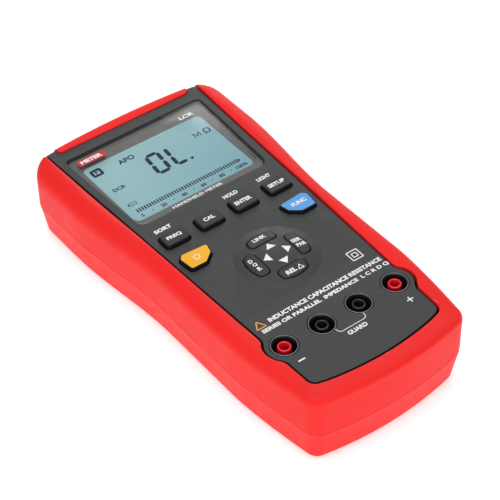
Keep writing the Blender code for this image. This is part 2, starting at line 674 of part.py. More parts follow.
def battery_parts():
    (length, width, height), (x, y) = BATTERY_SIZE, BATTERY_CENTRE
    outline = rounded_box((x - length / 2, x + length / 2), (y - width / 2, y + width / 2), 1.0, steps=2)
    jacket_material = material("battery_jacket", (0.10, 0.10, 0.11), 0.35, metallic=0.6)
    prism("battery", outline, (BATTERY_FOOT_Z, BATTERY_FOOT_Z + height), jacket_material)
    snap_x = (BAY_X[0] + 0.6, x - length / 2 - GAP)
    box("battery_snap", snap_x, (y - 12.5, y + 12.5), (4.0, 19.5), chip_black())
    door = prism("battery_door", rounded_box(DOOR_X, DOOR_Y, 2.0), DOOR_Z, dark_case())
    hole = SCREW_SHANK_RADIUS + GAP
    profile = [(0, -1), (hole, -1), (hole, 4), (0, 4)]
    cut(door, lathe("door_screw_hole", profile, (0, DOOR_SCREW_Y), dark_case(), sides=12))
    head = SCREW_HEAD_RADIUS + GAP
    profile = [(0, -1), (head, -1), (head, 1.4), (0, 1.4)]
    cut(door, lathe("door_head_recess", profile, (0, DOOR_SCREW_Y), dark_case(), sides=16))


def screw(name, place, head_foot_z, head_height, tip_z):
    """A pan-head screw put in from below, with a cross recess in its head."""
    head, shank, head_top_z = SCREW_HEAD_RADIUS, SCREW_SHANK_RADIUS, head_foot_z + head_height
    profile = [(0, head_foot_z), (head - 0.5, head_foot_z), (head, head_foot_z + 0.4)]
    profile += [(head, head_top_z), (shank, head_top_z), (shank, tip_z - 1.0), (0, tip_z)]
    made = lathe(name, profile, place, plated_steel(), sides=16)
    x, y = place
    for index, (half_x, half_y) in enumerate([(1.5, 0.35), (0.35, 1.5)]):
        slot = (x - half_x, x + half_x), (y - half_y, y + half_y)
        depth = (head_foot_z - 1, head_foot_z + head_height * 0.45)
        cut(made, box(f"{name}_slot_{index}", *slot, depth, plated_steel()))


def screws():
    for index, place in enumerate(SCREW_PLACES):
        screw(f"case_screw_{index + 1}", place, 2.2, 2.2, 26.0)
    screw("battery_door_screw", (0.0, DOOR_SCREW_Y), 0.6, 0.5, 11.0)


def stand():
    """The tilt stand: a flat leg on a barrel, turning on a steel pin in the rear case."""
    y, z = STAND_AXIS
    outline = rounded_box((-STAND_HALF_WIDTH, STAND_HALF_WIDTH), (STAND_FOOT_Y, y - 0.6), 2.6)
    leg = prism("tilt_stand", outline, STAND_Z, dark_case(), origin=(0, y, z))
    span = (-STAND_HALF_WIDTH + 0.02, STAND_HALF_WIDTH - 0.02)
    join(leg, rod_x("stand_barrel", span, y, z, STAND_BARREL_RADIUS, dark_case()))
    bore = (-STAND_HALF_WIDTH - 2, STAND_HALF_WIDTH + 2)
    cut(leg, rod_x("stand_bore", bore, y, z, PIN_RADIUS + GAP, dark_case(), sides=12))
    rod_x("stand_pin", (-30.5, 30.5), y, z, PIN_RADIUS, plated_steel(), sides=12)


def clear_scene():
    for old in list(bpy.data.objects):
        bpy.data.objects.remove(old)


def build():
    clear_scene()
    front_case()
    front_jacket()
    top_bar()
    rear_jacket()
    rear_case()
    display_parts()
    keys()
    keypad_parts()
    jacks()
    boards()
    battery_parts()
    screws()
    stand()


build()
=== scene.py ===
"""Looks of the handheld LCR meter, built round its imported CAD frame.

Shapes are written in millimetres in the CAD's own frame and scaled once, in new_mesh.
"""

import math

import bmesh
import bpy
import numpy as np
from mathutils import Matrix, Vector


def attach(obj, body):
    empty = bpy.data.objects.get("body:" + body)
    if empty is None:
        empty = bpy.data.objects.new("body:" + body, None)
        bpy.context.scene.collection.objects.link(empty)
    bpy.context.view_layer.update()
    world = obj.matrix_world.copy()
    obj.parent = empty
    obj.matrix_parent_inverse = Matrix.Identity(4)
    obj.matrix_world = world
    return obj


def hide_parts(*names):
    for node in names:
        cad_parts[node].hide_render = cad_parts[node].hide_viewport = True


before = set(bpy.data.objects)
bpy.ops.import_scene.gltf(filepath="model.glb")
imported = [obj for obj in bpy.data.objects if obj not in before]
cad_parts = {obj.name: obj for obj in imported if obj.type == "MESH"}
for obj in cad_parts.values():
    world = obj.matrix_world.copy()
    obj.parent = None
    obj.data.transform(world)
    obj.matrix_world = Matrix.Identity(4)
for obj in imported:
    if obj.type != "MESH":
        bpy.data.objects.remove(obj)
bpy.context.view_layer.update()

MM = 0.001
GAP = 0.3

# Body, as in the CAD
HALF_LENGTH = 96.6
HEAD_HALF_WIDTH, WAIST_HALF_WIDTH, FOOT_HALF_WIDTH = 49.8, 44.6, 38.8
HEAD_CORNER, FOOT_CORNER = 9.4, 5.5
HEAD_BOW, FOOT_BOW = 3.2, 4.6
PANEL_Z = 36.0
RIM_CROWN = 0.8
RIM_Z = PANEL_Z + RIM_CROWN
RIM_FALL = 10.5  # depth from the outline at which the rim is back at the panel's height
SEAM_TOP, SEAM_FOOT = 17.2, 16.9
JACKET_THICK, WALL_THICK, BAR_THICK = 2.2, 2.0, 1.6
PLATE_Z, LEDGE_Z = 33.2, 31.8
BASE_TAPER, BORDER_WIDTH, BORDER_THICK = 2.8, 8.0, 1.9
BAR_HALF, BAR_Y, BAR_FOOT_Z, BAR_CORNER = 35.2, 90.8, 22.5, 2.6

# Panel, as in the CAD
PANEL_HALF_WIDTH_AT_JACKS, PANEL_HALF_WIDTH_AT_HEAD = 33.8, 40.5
PANEL_FOOT_Y, PANEL_FOOT_RADIUS, PANEL_CORNER = -87.0, 135.0, 4.0
PANEL_GROOVE = 0.5
JACK_Y, JACK_PITCH = -60.0, 19.0
JACK_XS = [(index - 1.5) * JACK_PITCH for index in range(4)]
LOBE_RADIUS, LOBE_REACH, LOBE_EASE = 8.5, 40, 3.0  # the panel's swell round an outer jack
LOBE_SPAN = (-68.6, -51.4)  # where the panel's side leaves its straight line for the lobe

# Panel, for looks: the groove is drawn wider than the CAD's, so it reads as dark as in the photo
GROOVE_EASE = 0.4  # how far the panel's edge is drawn back
GROOVE_FLOOR_Z = 34.5

# Display, as in the CAD
LENS_TOP_Y, LENS_FOOT_Y = 84.6, 30.7
LENS_HALF_TOP, LENS_HALF_FOOT = 35.6, 33.5
LENS_Z = (34.2, 35.7)
LENS_SEAT, LENS_POCKET_Z = 1.2, 32.9
WINDOW_HALF_WIDTH, WINDOW_Y = 31.6, (36.5, 78.9)
GLASS_Z = (31.6, 32.7)

# Display, for looks
DISPLAY_X, DISPLAY_Y = (-32.1, 31.0), (36.1, 78.3)
DISPLAY_FACE_Z = 32.98  # a thin film over the glass and the edge of its window

# Keys, as in the CAD
KEY_Y = 15.6
KEY_XS = {"key_far_left": -26.9, "key_left": -9.0, "key_right": 9.0, "key_far_right": 26.9}
KEY_SIZE = (11.8, 7.8)
KEY_TOP_Z = 37.7
SIDE_KEY = [(19.0, 3.9), (31.5, 4.8), (33.4, 2.7), (32.5, -4.7), (25.1, -4.8), (20.3, -1.2)]
SIDE_PLUNGER = (27.0, -0.8)
NAV_CENTRE = (0.2, -18.9)
NAV_DOME_RADIUS, NAV_DOME_HEIGHT = 18.4, 2.2
NAV_INNER, NAV_OUTER, NAV_HALF = 8.1, 14.4, 7.2
NAV_KEY_RISE = 0.45
NAV_KEYS = ["nav_key_right", "nav_key_up", "nav_key_left", "nav_key_down"]
FLANGE_Z = (31.7, 32.9)
PLUNGER_RADIUS, PLUNGER_Z = 1.8, (29.2, 32.3)

# Keys, for looks
# the dark edge round each key's face is painted shade
FACE_STEP = 0.12  # a key's face stands this far above its dark edge

# Jacks, as in the CAD
CUP_RADIUS, CUP_FLANGE, CUP_BORE, CUP_FOOT_Z, CUP_TOP_Z = 5.7, 6.5, 4.85, 20.0, 35.92
SLEEVE_RADIUS, SLEEVE_BORE, SLEEVE_FOOT_Z = 2.9, 2.05, 17.5
TUBE_RADIUS, TUBE_BORE, TUBE_Z = 2.45, 2.0, (9.5, 30.0)

# Underside, as in the CAD
DOOR_X, DOOR_Y, DOOR_Z = (-31.5, 31.5), (-47.0, -5.5), (0.5, 2.3)
DOOR_SCREW = (0.0, -9.8)
STAND_AXIS = (58.0, 3.7)
STAND_HALF_WIDTH, STAND_FOOT_Y, STAND_Z = 24.0, 2.0, (0.8, 3.0)
STAND_BARREL_RADIUS, PIN_RADIUS, PIN_HALF = 2.6, 1.0, 30.5
SCREW_PLACES = [(-33.0, 82.0), (33.0, 82.0), (-25.0, -78.0), (25.0, -78.0)]
SCREW_HEAD_RADIUS, SCREW_SHANK_RADIUS = 2.8, 1.3

# Print
INK_HEIGHT, INK_SINK = 0.03, 0.01
LEGEND_HEIGHT, LEGEND_SINK = 0.05, 0.02
CAPITAL = 2.2  # height of the panel's letters
DISPLAY_TONES = [(132, 187, 199), (170, 213, 219)]

# Camera and light
CAMERA_AZIMUTH, CAMERA_ELEVATION = -37.965, 43.655
CAMERA_LENS = 126.7
CAMERA_DISTANCE = 725.4 * MM
CAMERA_TARGET = Vector((0.0, -15.7, 36.0)) * MM
CAMERA_SHIFT = (-0.044, 0.005)
LIGHTS = {  # place and aim in metres, size, power
    "top_light": ((-0.1, -0.1, 1.3), (0, 0, 0.02), 1.0, 9.0),
    "back_light": ((0.62, 0.82, 0.4), (0, 0, 0.03), 0.7, 2.6),
    "side_light": ((-1.0, 0.1, 0.45), (0, 0, 0.02), 0.7, 1.2),
    "front_light": ((-0.35, -1.0, 0.45), (0, 0, 0.02), 0.7, 2.6),
}
WORLD_LIGHT = 0.3
FLOOR_HALF, FLOOR_Z = 1500.0, -0.02
FLOOR_GLOW = 0.45  # the paper is lit through from below, as on a light table

# Shading
LARGE_FLAT = 60e-6  # square metres: a face this large is shaded as a plane of its own


# ---- materials


def srgb(red, green, blue):
    """Linear colour from 0-255 screen values."""
    shares = [value / 255 for value in (red, green, blue)]
    return tuple(v / 12.92 if v <= 0.04045 else ((v + 0.055) / 1.055) ** 2.4 for v in shares)


def scaled(colour, factor):
    return tuple(min(1.0, c * factor) for c in colour)


def fill(tree, socket, value):
    """Gives a socket a plain value, or links it to another node's output."""
    if isinstance(value, bpy.types.NodeSocket):
        tree.links.new(value, socket)
    else:
        socket.default_value = value


def add(tree, kind, **inputs):
    """A shader node of a kind, with its inputs given by name."""
    node = tree.nodes.new("ShaderNode" + kind)
    for key, value in inputs.items():
        fill(tree, node.inputs[key.replace("_", " ")], value)
    return node


class Surface:
    """A Principled material under construction, with its patterns in object coordinates."""

    def __init__(self, name, **values):
        self.material = bpy.data.materials.new(name)
        self.material.use_nodes = True
        self.tree = self.material.node_tree
        self.shader = next(n for n in self.tree.nodes if n.type == "BSDF_PRINCIPLED")
        self.place = add(self.tree, "TexCoord").outputs["Object"]
        for key, value in values.items():
            self.drive(key, value)

    def drive(self, key, value):
        fill(self.tree, self.shader.inputs[key.replace("_", " ")], value)

    def noise(self, size_mm, detail=3.0, stretch=None):
        """Noise whose features are about this many millimetres across."""
        place = self.place
        if stretch:
            place = add(self.tree, "Mapping", Vector=place, Scale=stretch).outputs["Vector"]
        scale = 1 / (size_mm * MM)
        return add(self.tree, "TexNoise", Vector=place, Scale=scale, Detail=detail).outputs["Fac"]

    def ramp(self, source, *stops):
        """Two colours, blended between two values of the source."""
        node = add(self.tree, "ValToRGB", Fac=source)
        for element, (position, colour) in zip(node.color_ramp.elements, stops):
            element.position, element.color = position, (*colour, 1.0)
        return node.outputs["Color"]

    def span(self, source, low, high, start=0.3, end=0.7):
        """The source's values between start and end spread from low to high."""
        ends = {"From_Min": start, "From_Max": end, "To_Min": low, "To_Max": high}
        return add(self.tree, "MapRange", Value=source, **ends).outputs["Result"]

    def mixed(self, share, first, second):
        """The first colours with a share of the second, plain one."""
        return add(self.tree, "MixRGB", Fac=share, Color1=first, Color2=(*second, 1.0)).outputs["Color"]

    def math(self, operation, *terms):
        node = add(self.tree, "Math")
        node.operation = operation
        for socket, term in zip(node.inputs, terms):
            fill(self.tree, socket, term)
        return node.outputs["Value"]

    def relief(self, source, depth_mm):
        return add(self.tree, "Bump", Height=source, Distance=depth_mm * MM).outputs["Normal"]


def moulded(name, colour, roughness, grain, clouding=0.06, wear_and_sheen=None, **more):
    """Moulded plastic or rubber: a fine grain (size and depth), faint clouding of its colour and
    uneven gloss. Sharp edges turn a little towards a lighter edge colour, which stands for rubbed wear and
    a painted highlight along them."""
    made = Surface(name, **more)
    tones = (0.3, scaled(colour, 1 - clouding)), (0.7, scaled(colour, 1 + clouding))
    colours = made.ramp(made.noise(25.0, detail=4.0), *tones)
    if wear_and_sheen:
        # lighter convex edges: partly rubbed wear, partly a painted highlight
        edges = add(made.tree, "NewGeometry").outputs["Pointiness"]
        colours = made.mixed(made.span(edges, 0.0, 0.5, start=0.52, end=0.6), colours, wear_and_sheen)
    made.drive("Base Color", colours)
    made.drive("Roughness", made.span(made.noise(4.0, detail=6.0), roughness - 0.05, roughness + 0.06))
    size, depth = grain
    made.drive("Normal", made.relief(made.noise(size, detail=2.0), depth))
    return made.material


def brushed_metal(name, colour):
    made = Surface(name, Metallic=1.0)
    streaks = made.noise(0.6, detail=5.0, stretch=(1.0, 1.0, 0.12))
    tones = (0.3, scaled(colour, 0.82)), (0.7, scaled(colour, 1.06))
    made.drive("Base Color", made.ramp(made.noise(3.0), *tones))
    made.drive("Roughness", made.span(streaks, 0.21, 0.4))
    made.drive("Normal", made.relief(streaks, 0.006))
    return made.material


def circuit_board():
    """Green solder mask over a regular net of slightly raised copper tracks and round pads."""
    made = Surface("board_mask", Roughness=0.38)
    tracks = add(made.tree, "TexBrick", Vector=made.place, Scale=180.0, Mortar_Size=0.035).outputs["Fac"]
    mask = made.ramp(tracks, (0.2, srgb(12, 72, 44)), (0.8, srgb(26, 104, 62)))
    pads = add(made.tree, "TexVoronoi", Vector=made.place, Scale=260.0, Randomness=0.55)
    ring = made.span(pads.outputs["Distance"], 1.0, 0.0, start=0.13, end=0.17)
    made.drive("Base Color", made.mixed(ring, mask, srgb(196, 188, 160)))
    made.drive("Metallic", made.math("MULTIPLY", ring, 0.8))
    made.drive("Normal", made.relief(made.math("ADD", tracks, ring), 0.04))
    return made.material


def clear_plastic():
    """The display lens: nearly clear, with a polished face that mirrors at a slant."""
    made = Surface("lens_clear")
    tree = made.tree
    tree.nodes.remove(made.shader)
    gloss = made.span(made.noise(5.0, detail=6.0), 0.03, 0.12, start=0.35, end=0.7)
    waves = made.relief(made.noise(14.0, detail=2.0), 0.02)
    mirror = add(tree, "BsdfGlossy", Roughness=gloss, Normal=waves)
    through = add(tree, "BsdfTransparent", Color=(0.975, 0.98, 0.98, 1.0))
    steep = made.math("POWER", add(tree, "LayerWeight", Blend=0.5).outputs["Facing"], 4.0)
    mix = add(tree, "MixShader", Fac=made.span(steep, 0.035, 1.0, start=0.0, end=1.0))
    for socket, shader in zip(list(mix.inputs)[1:], (through, mirror)):
        tree.links.new(shader.outputs["BSDF"], socket)
    output = next(n for n in tree.nodes if n.type == "OUTPUT_MATERIAL")
    tree.links.new(mix.outputs["Shader"], output.inputs["Surface"])
    return made.material


def display_film():
    """The display's face: pale blue-grey, a little lighter towards its upper left."""
    made = Surface("display_film", Roughness=0.32)
    turned = add(made.tree, "Mapping", Vector=made.place)
    turned.vector_type = "TEXTURE"
    turned.inputs["Location"].default_value = (34 * MM, 30 * MM, 0)
    turned.inputs["Rotation"].default_value = (0, 0, math.radians(145))
    turned.inputs["Scale"].default_value = (80 * MM,) * 3
    slope = add(made.tree, "TexGradient", Vector=turned.outputs["Vector"]).outputs["Fac"]
    place = made.math("ADD", slope, made.math("MULTIPLY", made.noise(18.0), 0.22))
    dark, light = (srgb(*tone) for tone in DISPLAY_TONES)
    made.drive("Base Color", made.ramp(place, (0.1, dark), (1.0, light)))
    made.drive("Normal", made.relief(made.noise(0.25), 0.003))
    return made.material


MOULDED = {  # plastics, rubbers and inks: name, screen colour, roughness, grain's size and depth
    "case": ("case_plastic", (58, 59, 61), 0.52, (0.4, 0.02)),
    "key": ("key_rubber", (38, 39, 43), 0.46, (0.3, 0.006)),
    # near-black key caps: painted shade for the keys' sides and the gaps round them
    "key_edge": ("key_edge_rubber", (15, 15, 18), 0.6, (0.3, 0.006)),
    "nav_key": ("nav_key_rubber", (44, 45, 48), 0.5, (0.3, 0.006)),
    "blue": ("key_blue_plastic", (88, 163, 234), 0.34, (0.3, 0.005)),
    "yellow": ("key_yellow_plastic", (250, 182, 20), 0.34, (0.3, 0.005)),
    "print": ("lens_print_ink", (114, 112, 110), 0.45, (0.3, 0.002)),
    "white": ("ink_white", (248, 248, 248), 0.55, (0.2, 0.004)),
    "amber": ("ink_amber", (224, 158, 80), 0.55, (0.2, 0.004)),
    "badge": ("ink_red", (196, 34, 44), 0.45, (0.2, 0.004)),
    "cup": ("jack_black", (26, 26, 27), 0.4, (0.35, 0.008)),
    # grey ring on each jack cup's lip: a painted highlight
    "rim": ("jack_rim_polished", (120, 120, 120), 0.3, (0.35, 0.004)),
    "jack_red": ("jack_red_plastic", (240, 28, 48), 0.32, (0.3, 0.005)),
    "chip": ("chip_epoxy", (34, 34, 36), 0.5, (0.2, 0.01)),
    "mat": ("mat_silicone", (120, 121, 124), 0.6, (0.4, 0.01)),
    "light": ("light_guide_acrylic", (222, 226, 226), 0.25, (0.6, 0.01)),
    "relay": ("relay_cream_plastic", (214, 208, 186), 0.45, (0.4, 0.01)),
}
M = {key: moulded(name, srgb(*tone), *rest) for key, (name, tone, *rest) in MOULDED.items()}
# the jacket's edge colour is the lit tone of its rounded edges: a painted highlight, with some wear
M["jacket"] = moulded(
    "jacket_rubber", srgb(246, 40, 38), 0.46, (0.45, 0.012), clouding=0.03, wear_and_sheen=srgb(255, 90, 84),
    Specular_IOR_Level=0.16,
)
# the panel's lighter edge colour: a painted highlight on its edges, with some wear
M["panel"] = moulded("panel_plastic", srgb(52, 53, 54), 0.5, (0.35, 0.014), wear_and_sheen=srgb(96, 96, 98))
# near-black strip in the panel's groove: painted shade for the shadow there
M["groove_shade_strip"] = moulded("groove_painted_shade", (0.003,) * 3, 0.85, (0.3, 0.004), Specular_IOR_Level=0.05)
M["segment"] = moulded("segment_dye", srgb(2, 28, 74), 0.5, (0.3, 0.002), Specular_IOR_Level=0.2)
M["cell"] = moulded("battery_label", srgb(52, 54, 60), 0.32, (0.6, 0.004), Metallic=0.5)
M["paper"] = moulded(
    "floor_paper", (0.93,) * 3, 0.85, (1.0, 0.01), clouding=0.01,
    Emission_Color=(1.0, 1.0, 1.0, 1.0), Emission_Strength=FLOOR_GLOW,
)
M["clear"], M["film"], M["board"] = clear_plastic(), display_film(), circuit_board()
M["brass"] = brushed_metal("brass", (0.78, 0.58, 0.28))
M["steel"] = brushed_metal("steel", (0.62, 0.62, 0.64))


# ---- outlines


def smoothstep(t):
    t = min(1.0, max(0.0, t))
    return t * t * (3 - 2 * t)


def spaced(start, end, steps):
    """Evenly spaced numbers, both ends included."""
    return [start + (end - start) * i / steps for i in range(steps + 1)]


def arc(centre, radius, start_deg, end_deg, steps):
    angles = [math.radians(a) for a in spaced(start_deg, end_deg, steps)]
    return [(centre[0] + radius * math.cos(a), centre[1] + radius * math.sin(a)) for a in angles]


def turned(outline, turn, centre):
    """An outline turned about the origin, then moved to a centre."""
    c, s = math.cos(turn), math.sin(turn)
    return [(centre[0] + u * c - v * s, centre[1] + u * s + v * c) for u, v in outline]


def box(x_span, y_span):
    """A counter-clockwise rectangle."""
    (x0, x1), (y0, y1) = x_span, y_span
    return [(x0, y0), (x1, y0), (x1, y1), (x0, y1)]


def rounded_box(x_span, y_span, radius, steps=8):
    """A counter-clockwise rectangle with round corners."""
    (x0, x1), (y0, y1) = x_span, y_span
    points = []
    for x, y, start in [(x1, y0, -90), (x1, y1, 0), (x0, y1, 90), (x0, y0, 180)]:
        centre = (x - radius if x == x1 else x + radius, y - radius if y == y1 else y + radius)
        points += arc(centre, radius, start, start + 90, steps)
    return points


def rounded_polygon(corners, radius, steps=6):
    """A polygon with each corner rounded by the same radius, as far as its sides allow."""
    points = []
    for index, corner in enumerate(corners):
        here = Vector(corner)
        back = Vector(corners[index - 1]) - here
        ahead = Vector(corners[(index + 1) % len(corners)]) - here
        half = back.angle(ahead) / 2
        run = min(radius / math.tan(half), back.length * 0.45, ahead.length * 0.45)
        back, ahead = back.normalized(), ahead.normalized()
        centre = here + (back + ahead).normalized() * (run / math.cos(half))
        first, last = here + back * run - centre, here + ahead * run - centre
        for t in spaced(0.0, 1.0, steps):
            points.append(tuple(centre + first.lerp(last, t).normalized() * first.length))
    return points


def curve_between(p0, t0, p1, t1, steps):
    """Inner points of a Hermite curve."""
    points = []
    for s in spaced(0.0, 1.0, steps)[1:-1]:
        a, b = 2 * s**3 - 3 * s**2 + 1, s**3 - 2 * s**2 + s
        c, d = -2 * s**3 + 3 * s**2, s**3 - s**2
        points.append(tuple(a * p + b * t + c * q + d * u for p, t, q, u in zip(p0, t0, p1, t1)))
    return points


def normals(outline):
    """The outward normal at each point of a counter-clockwise outline, long enough for a mitre."""
    result = []
    for i, here in enumerate(outline):
        before = Vector(here) - Vector(outline[i - 1])
        after = Vector(outline[(i + 1) % len(outline)]) - Vector(here)
        first = Vector((before.y, -before.x)).normalized()
        second = Vector((after.y, -after.x)).normalized()
        mean = (first + second).normalized()
        result.append(mean / max(0.5, mean.dot(first)))
    return result


def grown(outline, distance):
    return [(x + n.x * distance, y + n.y * distance) for (x, y), n in zip(outline, normals(outline))]


def half_width(y):
    """Half the body's width: a waist by the keys, wider to the display, narrower to the foot."""
    head = (HEAD_HALF_WIDTH - WAIST_HALF_WIDTH) * smoothstep(y / 66)
    foot = (WAIST_HALF_WIDTH - FOOT_HALF_WIDTH) * max(0.0, (-47 - y) / 50) ** 1.5
    return WAIST_HALF_WIDTH + head - foot


def edge_radius(y, normal):
    """The top edge's rounding, larger along the sides towards the display."""
    side = 3.0 + 5.0 * max(0.0, (y + HALF_LENGTH) / (2 * HALF_LENGTH)) ** 0.6
    facing_end = min(1.0, normal[1] ** 2)
    return side * (1 - facing_end) + 2.2 * facing_end


def half_outline(inset=0.0, side=64, end=26, corner=12):
    """The right half of the body's outline, from the middle of the foot to that of the head.

    It is a plain rounded rectangle, bent to the body's waist and bowed ends.
    """
    w, l = WAIST_HALF_WIDTH - inset, HALF_LENGTH - inset
    head, foot = max(3.0, HEAD_CORNER - inset), max(3.0, FOOT_CORNER - inset)
    spots = [(x, -l) for x in spaced(0.0, w - foot, end)[:-1]]
    spots += arc((w - foot, foot - l), foot, -90, 0, corner)
    spots += [(w, y) for y in spaced(foot - l, l - head, side)[1:-1]]
    spots += arc((w - head, l - head), head, 0, 90, corner)
    spots += [(x, l) for x in spaced(w - head, 0.0, end)[1:]]
    points = []
    for x, y in spots:
        bow = (HEAD_BOW if y > 0 else FOOT_BOW) * (x / w) ** 2 * abs(y / l)
        points.append((x * (half_width(y) - inset) / w, y - math.copysign(bow, y)))
    return points


def both_sides(right):
    """A whole outline from its right half, which starts on the middle line."""
    return right + [(-x, y) for x, y in right[:0:-1]]


def body_outline(inset=0.0):
    right = half_outline(inset)
    return right[:-1] + both_sides(right)[len(right) :]


OUTLINE = body_outline()
OUTLINE_NORMALS = normals(OUTLINE)


def body_ring(inset, z):
    return [(x - n.x * inset, y - n.y * inset, z) for (x, y), n in zip(OUTLINE, OUTLINE_NORMALS)]


def inner_ring(inset, z):
    """For insets deeper than the corner radii."""
    return at(z, body_outline(inset))


def edge_ring(skin, top_z, angle):
    """One ring of the rounded top edge, at an angle between its side and its top."""
    ring = []
    for (x, y), n in zip(OUTLINE, OUTLINE_NORMALS):
        radius = max(0.6, edge_radius(y, n) - skin)
        inset = skin + radius * (1 - math.cos(angle))
        ring.append((x - n.x * inset, y - n.y * inset, top_z - radius * (1 - math.sin(angle))))
    return ring


def panel_half_width(y):
    slope = (PANEL_HALF_WIDTH_AT_HEAD - PANEL_HALF_WIDTH_AT_JACKS) / (HALF_LENGTH - JACK_Y)
    return PANEL_HALF_WIDTH_AT_JACKS + slope * (y - JACK_Y)


def panel_side(top_y):
    """The right half of the panel's outline, and the indices that mark its corner, lobe and side."""
    side_x = panel_half_width(-80)
    sag = side_x**2 / (2 * PANEL_FOOT_RADIUS)
    centre = (side_x - PANEL_CORNER, PANEL_FOOT_Y + sag + PANEL_CORNER - 0.6)
    points = [(x, PANEL_FOOT_Y + x * x / (2 * PANEL_FOOT_RADIUS)) for x in spaced(0.0, 26.0, 13)]
    marks = [0, len(points)]
    points += arc(centre, PANEL_CORNER, -78, 0, 12)
    marks.append(len(points))
    enter_y, leave_y = LOBE_SPAN
    points += [(panel_half_width(y), y) for y in spaced(-78.5, enter_y, 5)]
    marks.append(len(points) - 1)
    lobe = arc((JACK_XS[-1], JACK_Y), LOBE_RADIUS, -LOBE_REACH, LOBE_REACH, 16)
    turn = math.radians(LOBE_REACH)
    side_way = Vector((panel_half_width(1) - panel_half_width(0), 1.0)) * LOBE_EASE
    lobe_way = Vector((math.sin(turn), math.cos(turn))) * LOBE_EASE
    points += curve_between(points[-1], side_way, lobe[0], lobe_way, 8) + lobe
    leave = (panel_half_width(leave_y), leave_y)
    points += curve_between(lobe[-1], (-lobe_way.x, lobe_way.y), leave, side_way, 8)
    marks.append(len(points))
    points += [(panel_half_width(y), y) for y in spaced(leave_y, top_y, 40)]
    return points, marks


def panel_outline(top_y=HALF_LENGTH + 8):
    return both_sides(panel_side(top_y)[0])


def lens_outline():
    points = arc((LENS_HALF_FOOT - 4, LENS_FOOT_Y + 4), 4, -90, 0, 8)
    points += arc((LENS_HALF_TOP - 2, LENS_TOP_Y - 2), 2, 0, 90, 8)
    return points + [(-x, y) for x, y in points[::-1]]


# ---- shapes: (points, faces)


def at(z, outline):
    return [(x, y, z) for x, y in outline]


def loft(rings, closed=False):
    """A solid through closed rings of equal count. When closed, the last ring joins the first."""
    count = len(rings[0])
    points = [p for ring in rings for p in ring]
    faces = [] if closed else [tuple(range(count))[::-1]]
    for level in range(len(rings) if closed else len(rings) - 1):
        low, high = level * count, (level + 1) % len(rings) * count
        for i in range(count):
            j = (i + 1) % count
            faces.append((low + i, low + j, high + j, high + i))
    if not closed:
        faces.append(tuple(len(points) - count + i for i in range(count)))
    return points, faces


def prism(outline, levels):
    """A solid through (growth, height) levels of one outline."""
    return loft([at(z, grown(outline, growth)) for growth, z in levels])


def circle_turns(sides):
    return [2 * math.pi * i / sides for i in range(sides)]


def lathe(profile, centre, sides=64):
    """A turned solid about a vertical axis. Radius 0 closes it; without that it is a ring."""
    cx, cy = centre
    points, rings = [], []
    for radius, z in profile:
        if radius == 0:
            rings.append([len(points)] * sides)
            points.append((cx, cy, z))
            continue
        rings.append(list(range(len(points), len(points) + sides)))
        points += [(cx + radius * math.cos(t), cy + radius * math.sin(t), z) for t in circle_turns(sides)]
    faces = []
    for k, low in enumerate(rings):
        high = rings[(k + 1) % len(rings)]
        for i in range(sides):
            j = (i + 1) % sides
            face = tuple(dict.fromkeys((low[i], low[j], high[j], high[i])))
            if len(face) > 2:
                faces.append(face)
    return points, faces


def rod_x(half, place, radius, sides=32, chamfer=0.0):
    """A rod along X, as long on both sides of the middle, at a place in Y and Z."""
    y, z = place
    end = radius - chamfer
    levels = [(-half, end), (-half + chamfer, radius), (half - chamfer, radius), (half, end)]
    rings = []
    for x, r in levels if chamfer else levels[::3]:
        rings.append([(x, y + r * math.cos(t), z + r * math.sin(t)) for t in circle_turns(sides)])
    return loft(rings)


def merged(shapes):
    points, faces = [], []
    for more_points, more_faces in shapes:
        start = len(points)
        points += list(more_points)
        faces += [tuple(start + i for i in face) for face in more_faces]
    return points, faces


def new_mesh(name, shape):
    points, faces = shape
    mesh = bpy.data.meshes.new(name)
    mesh.from_pydata([Vector(p) * MM for p in points], [], faces)
    work = bmesh.new()
    work.from_mesh(mesh)
    bmesh.ops.recalc_face_normals(work, faces=work.faces)
    work.to_mesh(mesh)
    work.free()
    return mesh


def new_object(name, data):
    made = bpy.data.objects.new(name, data)
    bpy.context.scene.collection.objects.link(made)
    return made


def boolean(shape, steps):
    """The shape after cutting ("DIFFERENCE"), joining ("UNION") or keeping ("INTERSECT")."""
    target = new_object("work", new_mesh("work", shape))
    for operation, tool_shape in steps:
        tool = new_object("tool", new_mesh("tool", tool_shape))
        modifier = target.modifiers.new("tool", "BOOLEAN")
        modifier.operation, modifier.solver, modifier.object = operation, "EXACT", tool
        spent = [target.data, tool.data]
        graph = bpy.context.evaluated_depsgraph_get()
        target.data = bpy.data.meshes.new_from_object(target.evaluated_get(graph))
        target.modifiers.clear()
        bpy.data.objects.remove(tool)
        for mesh in spent:
            bpy.data.meshes.remove(mesh)
    mesh = target.data
    result = [tuple(v.co / MM) for v in mesh.vertices], [tuple(p.vertices) for p in mesh.polygons]
    bpy.data.objects.remove(target)
    bpy.data.meshes.remove(mesh)
    return result


def cut(shape, *tools):
    return boolean(shape, [("DIFFERENCE", tool) for tool in tools])


def piece(name, shape, surface, node=None, body="housing", sharp=32.0, bevel=0.0):
    """A finished piece of the object: smooth where its faces turn gently, and riding on a body.

    A piece that stands for a CAD node hides that node.
    """
    mesh = new_mesh(name, shape)
    mesh.materials.append(M[surface])
    mesh.shade_smooth()
    mesh.set_sharp_from_angle(angle=math.radians(sharp))
    for face in mesh.polygons:
        if face.area > LARGE_FLAT:
            for loop in face.loop_indices:
                mesh.edges[mesh.loops[loop].edge_index].use_edge_sharp = True
    made = new_object(name, mesh)
    if bevel:
        rounding = made.modifiers.new("edges", "BEVEL")
        rounding.width, rounding.segments = bevel * MM, 2
        rounding.limit_method, rounding.angle_limit = "ANGLE", math.radians(40)
    made.modifiers.new("flats", "WEIGHTED_NORMAL").keep_sharp = True
    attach(made, body)
    if node:
        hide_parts(node)


# ---- red jacket


